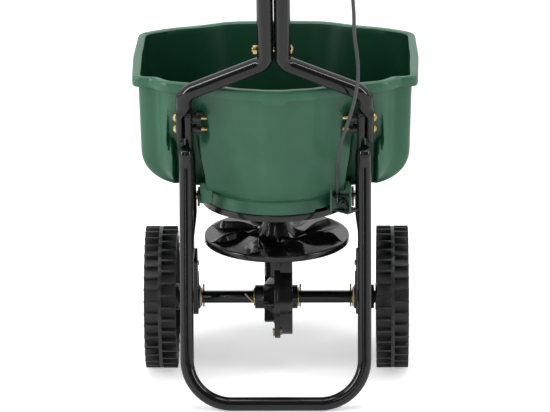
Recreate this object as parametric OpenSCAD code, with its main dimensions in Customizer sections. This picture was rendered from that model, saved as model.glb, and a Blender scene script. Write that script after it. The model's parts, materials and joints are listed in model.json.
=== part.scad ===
// Walk-behind broadcast spreader, seen from behind by the operator.
// Millimetres, +Z up, +Y the way it travels, +X to the operator's right. The axle lies over the origin.

/* [Wheels and axle] */
// Outer diameter of a wheel over its paddles
wheel_d = 203.2; // [190:0.1:215]
// Width of the tread
wheel_w = 45; // [40:0.5:50]
// Distance from the middle of the spreader to the middle of a wheel
wheel_x = 164.5; // [163:0.5:168]
// Radial depth of the tread paddles
paddle_h = 9; // [6:0.5:11]
// Thickness of one tread paddle
paddle_t = 3.4; // [2.5:0.1:4.5]
// Paddles in each of the two rows
paddle_n = 36; // [30:1:40]
// Width of the band between the two rows
band_w = 5; // [3:0.5:7]
// Wall of the wheel's rim under the paddles
wheel_rim_t = 4; // [3:0.5:6]
// Thickness of the wheel's web
wheel_web_t = 4; // [3:0.5:6]
// Spoke ribs on each side of the web
wheel_ribs = 8; // [5:1:10]
// Diameter of the wheel hub
wheel_hub_d = 38; // [36:1:44]
// Diameter of the axle
axle_d = 18; // [17:0.1:19]
// Diameter of the washers on the axle
washer_d = 27; // [25:0.5:30]
// Thickness of the washers on the axle
washer_t = 1.5; // [1:0.1:2]
// Wire diameter of the clips that hold the washers
clip_d = 2.6; // [2:0.1:3]

/* [Frame tubes] */
// Outer diameter of the frame tube
tube_d = 19.05; // [18:0.05:20]
// Wall of the frame tube
tube_wall = 1.2; // [1:0.1:1.6]
// Thickness of a leg's flat lower end
flat_t = 9; // [8:0.1:10]
// Slope of the legs and the handle from the ground
rake = 66.3; // [64:0.1:68]
// Distance from the middle to each leg tube
leg_x = 120.5; // [120:0.1:122]
// Thickness of a leg's oval top, across the spreader
leg_flat = 13.5; // [12.5:0.1:14.5]
// Distance from the middle to each upright of the stand
stand_x = 123.7; // [122:0.1:125]
// Distance from the axle back to the stand's foot bar
stand_back = 189; // [180:1:200]
// Bend radius of the stand's bottom corners
stand_bend = 62; // [50:1:70]
// Length of the stand's rounded top ends
stand_nose = 11; // [9:0.5:14]
// Diameter of the bolts
bolt_d = 6.35; // [6:0.05:6.5]
// Distance along the leg from the axle to the lower side bolt
bolt_low = 318; // [317:1:320]
// Spacing of the two side bolts
bolt_gap = 20; // [20:0.5:22]
// Diameter of a side bolt's knob
knob_d = 19; // [17:0.5:19.5]
// Thickness of a knob
knob_t = 8; // [7:0.5:9]
// Length of the hub between a knob and the leg
knob_hub = 4; // [3:0.5:5]

/* [Axle brackets] */
// Radius of a bracket round the axle
bracket_r = 25; // [24:0.5:27]
// Wall of the bracket over the leg's flat end
bracket_wall = 3.5; // [3:0.1:4.5]
// Length along the leg from the axle to the bracket's top
bracket_top = 80; // [75:1:90]
// Diameter of the bearing boss on a bracket
boss_d = 34; // [32:0.5:36]
// Wall of the axle bushes
bush_wall = 2; // [1.5:0.1:2.5]

/* [Handle] */
// Outer diameter of the handle tubes
handle_d = 22.2; // [21.6:0.1:22.5]
// Thickness of a handle tube's flat lower end
handle_flat_t = 8.5; // [8:0.1:9.5]
// Distance from the middle to each of the two parallel handle tubes
handle_x = 11.6; // [11.5:0.1:13]
// Length along the handle from the axle to its outer bends
arm_low = 380.5; // [380:0.5:385]
// Length along the handle from the axle to its inner bends
arm_high = 436.5; // [436:0.5:445]
// Bend radius at the outer ends of the arms
arm_bend_out = 25; // [22:1:30]
// Bend radius at the inner ends of the arms
arm_bend_in = 18; // [15:1:22]
// Length along the handle from the axle to the joint of lower and upper tubes
handle_joint = 700; // [660:1:740]
// Length along the handle from the axle to the cross bar
handle_top = 1075; // [1040:1:1120]
// Bend radius at the cross bar
bar_bend = 40; // [35:1:50]
// Half width over the grips
grip_end = 186; // [178:1:190]
// Length of a grip
grip_len = 96; // [85:1:105]
// Outer diameter of a grip
grip_d = 32; // [30:0.5:36]

/* [Hopper] */
// Height of the hopper's rim above the axle
rim_up = 357.4; // [352.4:0.1:362.4]
// Wall of the hopper
hopper_wall = 3; // [2.5:0.1:3.5]
// Width of the rim's lip
lip_w = 9; // [8:0.5:10]
// Height of the rim's turned-down skirt
lip_h = 14; // [10:0.5:16]
// Height above the axle at which the walls start to curve under
knee_up = 248.4; // [238.4:0.1:258.4]
// Height above the axle of the hopper's underside near the throat
under_up = 186.4; // [184.4:0.1:190.4]
// Outer radius of the round throat
throat_r = 105; // [103:0.5:107]
// Height of the throat's top edge above the axle
throat_up = 175.4; // [173.4:0.1:178.4]
// Height above the axle of the plane where the throat meets the base plate
seat_up = 156.4; // [154.4:0.1:157.4]
// Thickness of the hopper's floor
floor_t = 3; // [2.5:0.1:3.5]
// Inner side of the recess for the legs, from the middle
slot_in = 106; // [104:0.5:107]
// Outer side of the recess for the legs, from the middle
slot_out = 139; // [138:0.5:141]
// Room between a leg tube and the recess in front of it
slot_room = 8.5; // [7.5:0.5:10]

/* [Spreading] */
// Radius of the impeller
impeller_r = 103; // [98:0.5:106]
// Height of the impeller's plate above the axle
impeller_up = 95.4; // [93.4:0.1:98.4]
// Height of the impeller's rim
impeller_rim = 9; // [7:0.5:10]
// Number of impeller blades
blade_n = 8; // [6:1:9]
// Height of a blade at its widest place
blade_h = 11; // [8:0.5:13]
// Radius of the impeller's hub
hub_r = 14.5; // [13:0.5:16]
// Diameter of the impeller shaft
shaft_d = 9.5; // [9:0.1:10]
// Thickness of the base plate's rim
base_t = 9; // [8:0.5:10]
// Thickness of the shut-off plate
shutter_t = 3; // [2:0.1:3.2]
// Number of feed ports
port_n = 3; // [2:1:4]
// Inner radius of the feed ports
port_in = 45; // [40:1:50]
// Outer radius of the feed ports
port_out = 80; // [74:1:84]
// Width of a feed port, as an angle
port_arc = 7.4; // [6:0.1:8]

/* [Gearbox] */
// Size of the gear teeth, pitch diameter over tooth number
gear_module = 1.8; // [1.7:0.05:1.85]
// Teeth of the drive gear on the axle
gear_teeth = 50; // [46:1:50]
// Teeth of the pinion on the impeller shaft
pinion_teeth = 10; // [10:1:11]
// Radius of the gearbox flange
flange_r = 59.3; // [58.5:0.1:62]
// Outer radius of the gearbox drum
drum_r = 53.6; // [53:0.1:54.5]
// Wall of the gearbox shells
shell_wall = 3; // [2.5:0.1:3.2]
// Plane where the two gearbox shells meet
split_x = 0.6; // [0:0.1:1]
// Thickness of each shell's flange
flange_t = 4; // [3.5:0.1:4.5]
// Right face of the gearbox drum
drum_x = 21.9; // [21.5:0.1:24]
// Radius of the column round the impeller shaft
column_r = 18; // [17:0.5:19]
// Height of the gearbox's top above the axle
column_up = 81.4; // [79.4:0.1:83.4]

/* [Controls] */
// Diameter of the control cable
cable_d = 5; // [4.5:0.1:6]
// Half width of the console
console_half = 42; // [38:1:48]
// Length along the handle from the axle to the console's bottom
console_low = 915; // [900:1:930]
// Height of the console along the handle
console_h = 70; // [65:1:80]
// Depth of the console behind the handle tubes
console_deep = 70; // [66:1:80]
// Wall of the console
console_wall = 2.5; // [2:0.1:3]
// Length of the control lever above its pivot
lever_len = 95; // [80:1:110]
// Angle that the control lever turns through
lever_swing = 33; // [28:1:36]
// Radius of the rate dial
dial_r = 16; // [13:0.5:18]
// Angle that the shut-off crank turns through
crank_swing = 56; // [50:1:60]
// Length of the crank's lower arm
crank_drop = 14; // [13:0.1:15]

/* [Hidden] */
$fn = 48;

// Running clearance on the radius, gap between separate pieces and clearance of a fixed fit
run_fit = 0.075;
seat_gap = 0.3;
snug = 0.02;
// A cut reaches this far past the face that it opens; a long one goes right through a tube
past = 1;
through = 120;

black = [0.07, 0.07, 0.08];
dark = [0.16, 0.16, 0.17];
green = [0.16, 0.36, 0.26];
zinc = [0.80, 0.68, 0.38];
steel = [0.62, 0.63, 0.64];
bronze = [0.66, 0.50, 0.28];

axle_z = wheel_d / 2;
rim_z = axle_z + rim_up;
knee_z = axle_z + knee_up;
under_z = axle_z + under_up;
throat_top = axle_z + throat_up;
seat_z = axle_z + seat_up;
impeller_z = axle_z + impeller_up;
column_top = axle_z + column_up;
tube_r = tube_d / 2;
handle_r = handle_d / 2;
axle_r = axle_d / 2;
shaft_r = shaft_d / 2;
bolt_r = bolt_d / 2;
tilt = 90 - rake;
// Width of a tube of radius r that is flattened to t, its perimeter kept
function flat_width(r, t) = PI * (r - t / 2) + t;
flat_w = flat_width(tube_r, flat_t);
oval_w = flat_width(tube_r, leg_flat);
handle_flat_w = flat_width(handle_r, handle_flat_t);

function sum(v, n = 0) = n >= len(v) ? 0 : v[n] + sum(v, n + 1);
function clamp01(t) = max(0, min(1, t));
function smooth(t) = let (c = clamp01(t)) c * c * (3 - 2 * c);
function sgn(t) = t < 0 ? -1 : 1;

// The frame of the legs and the handle: its Z runs up along them from the axle, its Y forwards and up
module rake_frame() translate([0, 0, axle_z]) rotate([tilt, 0, 0]) children();
function rake_pt(x, y, s) = [x, y * cos(tilt) - s * sin(tilt), axle_z + y * sin(tilt) + s * cos(tilt)];

module both_sides() {
    children();
    mirror([1, 0, 0]) children();
}

module along_x(x, y = 0, z = 0) translate([x, y, z]) rotate([0, 90, 0]) children();

module ring2d(r, wall) difference() {
    circle(r);
    circle(r - wall);
}

module sleeve(r_out, r_in, h) linear_extrude(h) ring2d(r_out, r_out - r_in);

// Round-ended bar section, w long in Y and t thick in X
module stadium2d(w, t) {
    square([t, w - t], center = true);
    for (s = [-1, 1]) translate([0, s * (w - t) / 2]) circle(t / 2);
}

module flat_ring2d(w, t) difference() {
    stadium2d(w, t);
    stadium2d(w - 2 * tube_wall, t - 2 * tube_wall);
}

// From a round tube end at the origin up to a flat one, h higher and dx aside, lapping into both
lap = 0.4;
lap_step = 0.04;
module tube_to_flat(h, r, w, t, dx = 0) hull() {
    translate([0, 0, -lap]) cylinder(h = lap, r = r - 3 * lap_step, $fn = 32);
    for (s = [-1, 1]) translate([dx, s * (w - t) / 2, h]) cylinder(h = lap, r = t / 2 - lap_step, $fn = 32);
}

// Straight round bar between two points
module rod(a, b, r) {
    d = b - a;
    translate(a) rotate([0, acos(d[2] / norm(d)), atan2(d[1], d[0])]) cylinder(h = norm(d), r = r, $fn = 20);
}

function seg_dir(p, q) = atan2(q[1] - p[1], q[0] - p[0]);
function turn_at(pts, i) = let (
    t = seg_dir(pts[i], pts[i + 1]) - seg_dir(pts[i - 1], pts[i])
) t > 180 ? t - 360 : t < -180 ? t + 360 : t;
function trim_at(pts, radii, i) =
    i <= 0 || i >= len(pts) - 1 ? 0 : radii[i - 1] * tan(abs(turn_at(pts, i)) / 2);

// A bent tube in the XZ plane: pts are the corners [x, z] of its middle line, radii the bends at them
module bent_tube(pts, radii, r = tube_r, wall = tube_wall) {
    for (i = [0 : len(pts) - 2]) {
        a = seg_dir(pts[i], pts[i + 1]);
        start = trim_at(pts, radii, i) - (i > 0 ? lap : 0);
        end = trim_at(pts, radii, i + 1) - (i < len(pts) - 2 ? lap : 0);
        // The straight laps into the bends inside their wall
        translate([pts[i][0] + start * cos(a), 0, pts[i][1] + start * sin(a)]) rotate([0, 90 - a, 0])
            linear_extrude(norm(pts[i + 1] - pts[i]) - start - end) ring2d(r - lap_step, wall - 2 * lap_step);
    }
    for (i = [1 : len(pts) - 2]) {
        a = seg_dir(pts[i - 1], pts[i]);
        t = turn_at(pts, i);
        side = sgn(t);
        back = trim_at(pts, radii, i);
        c = pts[i] - back * [cos(a), sin(a)] + radii[i - 1] * side * [-sin(a), cos(a)];
        start = side > 0 ? a - 90 : a + 90 - abs(t);
        translate([c[0], 0, c[1]]) rotate([90, 0, 0]) rotate([0, 0, start])
            rotate_extrude(angle = abs(t)) translate([radii[i - 1], 0]) rotate(40) ring2d(r, wall);
    }
}

// A closed solid through rings of points, each ring going the same way round, the first and last capped
module ring_solid(rings) {
    n = len(rings[0]);
    m = len(rings);
    pts = [for (ring = rings) each ring];
    sides = [for (j = [0 : m - 2], i = [0 : n - 1]) each let (
        a = j * n + i,
        b = j * n + (i + 1) % n
    ) [[a, b + n, b], [a, a + n, b + n]]];
    polyhedron(pts, concat(sides, [[for (i = [0 : n - 1]) i]], [[for (i = [n - 1 : -1 : 0]) (m - 1) * n + i]]));
}

// A ring-shaped solid: the rings follow each other round a closed section
module ring_loop(rings) {
    n = len(rings[0]);
    m = len(rings);
    pts = [for (ring = rings) each ring];
    polyhedron(pts, [for (j = [0 : m - 1], i = [0 : n - 1]) each let (
        a = j * n + i,
        b = j * n + (i + 1) % n,
        c = ((j + 1) % m) * n + i,
        d = ((j + 1) % m) * n + (i + 1) % n
    ) [[a, d, b], [a, c, d]]]);
}

// Hopper: half of the rim's outline, from the middle of the back to the middle of the front
rim_half = [
    [0, -174], [18, -174], [24, -171], [54, -166], [72, -157], [92, -146.5], [120, -137],
    [139, -131], [152, -127], [163, -117], [172, -104], [189, -103], [198, -97], [201, 12], [198, 119],
    [191, 128], [173, 140], [151, 152], [128, 159], [104, 168], [80, 181], [60, 186], [0, 189]
];
// Longest stretch of the outline between two points
outline_step = 26;

function split_seg(p, q) = let (n = max(1, ceil(norm(q - p) / outline_step))) [
    for (k = [0 : n - 1]) p + (q - p) * k / n
];
rim_right = [for (i = [0 : len(rim_half) - 2]) each split_seg(rim_half[i], rim_half[i + 1])];
rim_end = rim_half[len(rim_half) - 1];
rim_all = concat(rim_right, [rim_end], [
    for (i = [len(rim_right) - 1 : -1 : 1]) [-rim_right[i][0], rim_right[i][1]]
]);

// How much a direction belongs to the back or the front rather than to a side
function end_share(p) = smooth((abs(p[1]) / norm(p) - 0.55) / 0.35);
side_slope = 6;
back_slope = 27;
under_step = 8;
under_r = throat_r + under_step;
curve_steps = 6;

// Outer points [radius, height, slope of the wall] of the hopper's section towards the rim point p
function section(p) = let (
    w = end_share(p),
    top_r = norm(p) - lip_w,
    knee_r = top_r - side_slope - (back_slope - side_slope) * w,
    e = 0.8 + 0.8 * w,
    low_z = under_z - 6 * w
) concat(
    [[throat_r, seat_z, 0], [throat_r, throat_top, 0]],
    [for (k = [0 : curve_steps]) let (t = 90 - 90 * k / curve_steps) [
        under_r + (knee_r - under_r) * pow(cos(t), e),
        knee_z - (knee_z - low_z) * pow(sin(t), e),
        t * (1 - 0.45 * w)
    ]],
    [[top_r, rim_z - 3, 0]]
);
// The section drawn in by the wall
function section_in(p) = [for (q = section(p)) [
    q[0] - hopper_wall * cos(q[2]),
    q[1] + hopper_wall * sin(q[2]),
    0
]];
function at(p, q) = let (n = norm(p)) [p[0] / n * q[0], p[1] / n * q[0], q[1]];

module tub_outer() {
    secs = [for (p = rim_all) section(p)];
    ring_solid([for (j = [0 : len(secs[0]) - 1]) [for (i = [0 : len(secs) - 1]) at(rim_all[i], secs[i][j])]]);
}

module tub_inner() {
    secs = [for (p = rim_all) let (s = section_in(p), n = len(s)) concat(
        [[s[0][0], floor_low + floor_t, 0]],
        [for (k = [1 : n - 1]) s[k]],
        [[s[n - 1][0], rim_z + past, 0]]
    )];
    ring_solid([for (j = [0 : len(secs[0]) - 1]) [for (i = [0 : len(secs) - 1]) at(rim_all[i], secs[i][j])]]);
}

skirt_t = 2.5;
module rim_lip() {
    edge = 2;
    sec = function (p) let (r = norm(p), r_in = r - lip_w - hopper_wall) [
        [r_in, rim_z - 4], [r_in, rim_z], [r - edge, rim_z], [r, rim_z - edge], [r, rim_z - lip_h],
        [r - skirt_t, rim_z - lip_h], [r - skirt_t, rim_z - 4]
    ];
    secs = [for (p = rim_all) sec(p)];
    ring_loop([
        for (j = [len(secs[0]) - 1 : -1 : 0]) [for (i = [0 : len(secs) - 1]) at(rim_all[i], secs[i][j])]
    ]);
}

// Recess for a leg and its joint on the right; grow makes the cut for the inside, a wall larger
slot_front = tube_r + slot_room;
joint_out = 148;
joint_low = bolt_low - 32;
joint_high = bolt_low + bolt_gap + 48;
module leg_recess(grow = 0) rake_frame() {
    corner = 6 + grow;
    x1 = slot_in - grow;
    for (span = [[140 - grow, 420, slot_out + grow], [joint_low - grow, joint_high, joint_out + grow]]) {
        hull() {
            for (x = [x1 + corner, span[2] - corner]) {
                translate([x, slot_front + grow - corner, span[0]])
                    cylinder(h = span[1] - span[0], r = corner, $fn = 24);
            }
            translate([x1, -90, span[0]]) cube([span[2] - x1, 10, span[1] - span[0]]);
        }
    }
    // Scoop that leaves room for the knobs
    scoop_r = 38 + grow;
    hull() {
        for (s = [bolt_low - 2, bolt_low + bolt_gap]) {
            translate([98, slot_front + grow - scoop_r, s]) sphere(r = scoop_r, $fn = 28);
        }
    }
}

// Lug under the left of the hopper, which takes the bolt and screw of its bracket
block_x = [84, 106];
lug_y = [-92, -62];
lug_low = seat_z + 8;
module lug() translate([block_x[0], lug_y[0], lug_low])
    cube([block_x[1] - block_x[0], lug_y[1] - lug_y[0], under_z + 14 - lug_low]);
module nut_pocket() {
    along_x(block_x[1] - 6, hopper_bolt_y, hopper_bolt_z) cylinder(h = 10, r = 6.7, $fn = 6);
    along_x(block_x[0] + 4, hopper_bolt_y, hopper_bolt_z) cylinder(h = 20, r = bolt_r + 0.3, $fn = 24);
    along_x(block_x[1] - 12, plate_screw[0], plate_screw[1]) cylinder(h = 14, r = screw_r, $fn = 24);
}

// Guide for the cable on the back of the throat, open at the back
guide_x = [76, 106];
guide_y = [-104, -60];
guide_top = seat_z + 45;
guide_wall = 3;
guide_back = -87;
guide_low = seat_z + 4;
module cable_guide_block() translate([guide_x[0], guide_y[0], guide_low])
    cube([guide_x[1] - guide_x[0], guide_y[1] - guide_y[0], guide_top - guide_low]);
module cable_guide() difference() {
    cable_guide_block();
    translate([guide_x[0] + guide_wall, guide_y[0] - past, guide_low - past]) cube([
        guide_x[1] - guide_x[0] - 2 * guide_wall, guide_back - guide_y[0] + past,
        guide_top - guide_low + 2 * past
    ]);
}

floor_low = seat_z + 4;
module port_wedges(z0, h, turn = 0) {
    for (k = [0 : port_n - 1]) rotate([0, 0, port_first + k * 360 / port_n + turn]) translate([0, 0, z0])
        linear_extrude(h) polygon(concat(
            [for (a = [-port_arc / 2 : port_arc / 4 : port_arc / 2]) port_out * [cos(a), sin(a)]],
            [for (a = [port_arc / 2 : -port_arc / 4 : -port_arc / 2]) port_in * [cos(a), sin(a)]]
        ));
}
port_first = 60;

// Crank at the cable's end: its pivot, and where its tip stands when shut and open
crank_x = 94;
crank_y = -92;
crank_z = seat_z + 16;
crank_arm = 8;
crank_t = 4;
tip_r = 2;
tip_out = crank_drop * sin(crank_swing / 2);
tip_shut = [crank_x + tip_out, crank_y];
tip_open = [crank_x - tip_out, crank_y];
shutter_swing = 2 * tip_out / abs(crank_y) * 180 / PI;
function turned(p, a) = [p[0] * cos(a) - p[1] * sin(a), p[0] * sin(a) + p[1] * cos(a)];
slot_shut = tip_shut;
slot_open = turned(tip_open, shutter_swing);
ear_at = (slot_shut + slot_open) / 2;
ear_w = 24;

module hopper() color(green) {
    difference() {
        union() {
            tub_outer();
            difference() {
                union() {
                    cable_guide();
                    mirror([1, 0, 0]) lug();
                }
                cylinder(h = 400, r = throat_r - 1, $fn = 72);
                both_sides() nut_pocket();
            }
        }
        both_sides() leg_recess();
        difference() {
            tub_inner();
            both_sides() leg_recess(hopper_wall);
        }
        translate([0, 0, seat_z - past])
            cylinder(h = floor_low - seat_z + past, r = throat_r - hopper_wall, $fn = 72);
        port_wedges(floor_low - past, floor_t + 2 * past);
        translate([0, 0, floor_low - past]) cylinder(h = 12, r = shaft_r + 2.5, $fn = 32);
        // Window in the throat for the shut-off plate's ear
        rotate([0, 0, atan2(ear_at[1], ear_at[0]) - shutter_swing / 2])
            translate([throat_r - 12, -ear_w / 2 - 12, seat_z - past])
                cube([50, ear_w + 24, floor_low - seat_z + past]);
        for (a = base_screw_at) rotate([0, 0, a]) translate([base_screw_r, 0, seat_z - past])
            cylinder(h = 10, r = screw_r, $fn = 24);
    }
    rim_lip();
    // Tongue below the middle of the rim at the back
    translate([-tongue_w / 2, rim_half[0][1] + 0.1, rim_z - lip_h - tongue_h])
        cube([tongue_w, skirt_t - 0.2, tongue_h + lip_h / 2]);
    // Bosses in the throat for the base plate's screws
    for (a = base_screw_at) rotate([0, 0, a]) translate([base_screw_r, 0, seat_z]) difference() {
        cylinder(h = floor_low - seat_z + 1, r = 5, $fn = 24);
        translate([0, 0, -past]) cylinder(h = 8, r = screw_r, $fn = 24);
    }
}

tongue_w = 30;
tongue_h = 6;

base_screw_r = 97;
base_screw_at = [15, 100, 170, 250];
screw_r = 1.9;

// Base plate: black rim, flat floor under the shut-off plate, boss for the shaft's bush
base_low = seat_z - base_t;
base_top_in = seat_z;
base_floor_t = 4;
module base_plate() color(black) difference() {
    union() {
        translate([0, 0, base_low]) sleeve(throat_r + 1.2, throat_r - 11, base_t - 0.05);
        translate([0, 0, base_top_in - base_floor_t - 0.4]) cylinder(h = base_floor_t, r = throat_r - 5);
        translate([0, 0, base_low]) cylinder(h = base_t - 1, r = 15);
        for (k = [0 : 5]) rotate([0, 0, k * 60 + 30]) translate([10, -1.5, base_low + 1])
            cube([throat_r - 18, 3, base_t - 2]);
    }
    translate([0, 0, base_low - past]) cylinder(h = base_t + 2 * past, r = bush_r + snug);
    port_wedges(base_low - past, base_t + 2 * past);
    for (a = base_screw_at) rotate([0, 0, a]) translate([base_screw_r, 0, base_low - past]) {
        cylinder(h = base_t + 2 * past, r = screw_r + 0.2);
        cylinder(h = 3 + past, r = 4.2);
    }
}

module base_screws() color(zinc) {
    for (a = base_screw_at) rotate([0, 0, a]) translate([base_screw_r, 0, base_low + 0.4]) {
        cylinder(h = 2.5, r = 3.6);
        cylinder(h = 14, r = screw_r - snug);
    }
}

bush_r = 8;
module plate_bush() color(bronze) translate([0, 0, base_low - 0.6]) {
    difference() {
        union() {
            cylinder(h = base_t - 0.4, r = bush_r);
            cylinder(h = 0.55, r = 11);
        }
        translate([0, 0, -past]) cylinder(h = base_t + 2 * past, r = shaft_r + run_fit);
    }
}

shutter_z = seat_z + 0.5;
module shutoff_plate() color(dark) difference() {
    union() {
        translate([0, 0, shutter_z]) cylinder(h = shutter_t, r = base_screw_r - 6);
        translate([0, 0, shutter_z]) linear_extrude(shutter_t) ear2d();
    }
    translate([0, 0, shutter_z - past]) cylinder(h = shutter_t + 2 * past, r = bush_r + 3.2);
    port_wedges(shutter_z - past, shutter_t + 2 * past, shutter_swing);
    translate([0, 0, shutter_z - past]) linear_extrude(shutter_t + 2 * past) ear_slot2d();
}

ear_edge = 11;
module ear2d() {
    a = atan2(ear_at[1], ear_at[0]);
    rotate(a) translate([60, -ear_w / 2]) square([norm(ear_at) - 60 + ear_edge, ear_w]);
}

module ear_slot2d() {
    d = slot_open - slot_shut;
    w = 2 * tip_r + 1.3;
    end_room = 1.5;
    translate(slot_shut) rotate(atan2(d[1], d[0])) {
        translate([-end_room, -w / 2]) square([norm(d) + 2 * end_room, w]);
        for (x = [-end_room, norm(d) + end_room]) translate([x, 0]) circle(w / 2);
    }
}

// Crank, drawn shut: a forked arm round the wire and an arm down to the plate's slot
fork_r = 2.6;
module shutoff_crank() color(dark)
    translate([crank_x, crank_y + crank_t / 2, crank_z]) rotate([0, -crank_swing / 2, 0]) rotate([90, 0, 0])
        difference() {
            linear_extrude(crank_t) difference() {
                union() {
                    circle(4.5);
                    polygon([[-crank_arm, -2.5], [0, -4], [0, 4], [-crank_arm, 2.5]]);
                    translate([-crank_arm, 0]) circle(fork_r);
                    polygon([[-3.6, 0], [-tip_r, -crank_drop], [tip_r, -crank_drop], [3.6, 0]]);
                    translate([0, -crank_drop]) circle(tip_r);
                }
                circle(pin_r + run_fit);
            }
            translate([-crank_arm - fork_r - past, -5, crank_t / 2 - wire_r - 0.3])
                cube([fork_r + past + 1.8, 10, 2 * wire_r + 0.6]);
        }

pin_r = 1.8;
wire_r = 0.8;
module crank_pin() color(zinc) translate([crank_x, 0, crank_z]) rotate([90, 0, 0]) {
    translate([0, 0, -guide_back + seat_gap]) cylinder(h = -guide_y[0] + guide_back - 1, r = pin_r);
    translate([0, 0, -crank_y + crank_t / 2 + 0.4]) cylinder(h = 1.2, r = 3.6);
}

// Impeller shaft with what turns on it
shaft_low = axle_z + 26;
shaft_top = seat_z + 44;
module impeller_shaft() color(steel) translate([0, 0, shaft_low]) difference() {
    cylinder(h = shaft_top - shaft_low, r = shaft_r);
    translate([0, 0, impeller_pin_z - shaft_low]) rotate([0, 90, 0])
        cylinder(h = 3 * shaft_r, r = pin_r + snug, center = true);
}

impeller_pin_z = impeller_z + 36;
impeller_hub_top = base_low - 3;
module impeller_pin() color(zinc) along_x(-hub_r + 0.4, 0, impeller_pin_z)
    cylinder(h = 2 * hub_r - 0.8, r = pin_r);

// One blade: a curved ridge that rises at the hub, opens into a leaf with a sunken middle and ends at the rim
blade_steps = 11;
blade_in = 10;
function blade_mid(t) = let (
    r = blade_in + (impeller_r - 5 - blade_in) * t,
    a = 34 * smooth(t) - 12 * t
) [r * cos(a), r * sin(a)];
function blade_half(t) = 1.8 + 11.5 * smooth((t - 0.28) / 0.38) - 9.5 * smooth((t - 0.72) / 0.28);
function blade_top(t) = max(
    0.8, blade_h + 16 * pow(1 - clamp01(t / 0.42), 2) - (blade_h - 1) * smooth((t - 0.6) / 0.4)
);
function blade_ring(t) = let (
    c = blade_mid(t),
    d = blade_mid(min(1, t + 0.02)) - blade_mid(max(0, t - 0.02)),
    n = [-d[1], d[0]] / norm(d),
    w = blade_half(t),
    h = blade_top(t),
    sink = 0.55 * smooth((t - 0.34) / 0.26)
) [
    for (q = [
        [1, -1], [0.8, h], [0.35, h * (1 - sink * 0.9)], [-0.3, h * (1 - sink)], [-0.92, h * 0.8], [-1, -1]
    ])
        [c[0] + n[0] * w * q[0], c[1] + n[1] * w * q[0], q[1]]
];
module blade() ring_solid([for (k = [0 : blade_steps]) blade_ring(k / blade_steps)]);

module impeller() color(black) difference() {
    union() {
        translate([0, 0, impeller_z - 3]) cylinder(h = 3, r = impeller_r - 0.5);
        translate([0, 0, impeller_z - impeller_rim]) sleeve(impeller_r, impeller_r - 2.6, impeller_rim);
        translate([0, 0, impeller_z - 10]) cylinder(h = impeller_hub_top - impeller_z + 10, r = hub_r);
        translate([0, 0, impeller_z - 0.5]) cylinder(h = 26, r1 = 30, r2 = hub_r - 0.5);
        for (k = [0 : blade_n - 1]) rotate([0, 0, k * 360 / blade_n])
            translate([0, 0, impeller_z - 0.5]) blade();
    }
    translate([0, 0, impeller_z - 20]) cylinder(h = 80, r = shaft_r + snug);
    along_x(0, 0, impeller_pin_z) cylinder(h = 3 * hub_r, r = pin_r + snug, center = true);
}

agitator_z = seat_z + 14;
module agitator() color(black) translate([0, 0, agitator_z]) difference() {
    union() {
        cylinder(h = 22, r = 9);
        translate([0, 0, 22]) cylinder(h = 7, r1 = 9, r2 = 6);
        for (k = [0, 180]) rotate([0, 0, k]) translate([6, -2.5, 2]) rotate([0, -24, 0]) cube([34, 5, 6]);
    }
    translate([0, 0, -past]) cylinder(h = shaft_top - agitator_z + past + 0.2, r = shaft_r + snug);
}

// Gear teeth: a crown gear on the axle faces a pinion on the upright shaft
pinion_r = gear_module * pinion_teeth / 2;
gear_r = gear_module * gear_teeth / 2;
tooth_pitch = PI * gear_module;
face_w = 8;
tip_h = 0.9 * gear_module;
root_h = 1.25 * gear_module;
backlash = 0.8;
gear_disc_t = 4;
gear_back_x = pinion_r + root_h + gear_disc_t;

module pinion() color([0.85, 0.84, 0.80]) translate([0, 0, axle_z + gear_r - face_w / 2 - 1]) difference() {
    union() {
        linear_extrude(face_w + 2) {
            circle(pinion_r - root_h + 0.3);
            for (k = [0 : pinion_teeth - 1]) rotate(k * 360 / pinion_teeth) polygon([
                [pinion_r - root_h, -tooth_pitch / 4 - 0.35], [pinion_r, -tooth_pitch / 4 + backlash / 2],
                [pinion_r + tip_h, -tooth_pitch / 9], [pinion_r + tip_h, tooth_pitch / 9],
                [pinion_r, tooth_pitch / 4 - backlash / 2], [pinion_r - root_h, tooth_pitch / 4 + 0.35]
            ]);
        }
        translate([0, 0, face_w + 2]) cylinder(h = 8, r = pinion_r - root_h + 0.3);
    }
    translate([0, 0, -past]) cylinder(h = face_w + 20, r = shaft_r + snug);
}

module drive_gear() color([0.85, 0.84, 0.80]) along_x(0, 0, axle_z) difference() {
    union() {
        translate([0, 0, pinion_r + root_h]) cylinder(h = gear_disc_t, r = gear_r + face_w / 2);
        translate([0, 0, pinion_r + root_h]) cylinder(h = 7.8, r = 15);
        // Radial teeth; a gap stands at the top, where the pinion's tooth enters it
        for (k = [0 : gear_teeth - 1]) rotate([0, 0, 180 + (k + 0.5) * 360 / gear_teeth])
            translate([gear_r - face_w / 2, 0, pinion_r]) rotate([90, 0, 90])
                linear_extrude(face_w - 0.4) polygon([
                    [-tooth_pitch / 4 - 0.3, root_h + 0.5], [-tooth_pitch / 4 + backlash / 2, 0],
                    [-tooth_pitch / 9, -tip_h], [tooth_pitch / 9, -tip_h],
                    [tooth_pitch / 4 - backlash / 2, 0], [tooth_pitch / 4 + 0.3, root_h + 0.5]
                ]);
    }
    cylinder(h = 60, r = axle_r + snug);
    translate([0, 0, gear_pin_x]) rotate([90, 0, 0]) cylinder(h = 40, r = 1.5 + snug, center = true);
}

gear_pin_x = pinion_r + root_h + 5.9;
module gear_pin() color(steel) translate([gear_pin_x, 0, axle_z]) rotate([90, 0, 0])
    cylinder(h = 29, r = 1.5, center = true);

// Side outline of the gearbox: a disc round the axle and an upright block to the top
module box2d(r, half, top) rotate(90) {
    circle(r);
    translate([0, -half]) square([top - axle_z, 2 * half]);
}
module box_x(x0, x1, r, half, top) along_x(x0, 0, axle_z) rotate([0, 0, 90])
    linear_extrude(x1 - x0) box2d(r, half, top);

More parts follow.
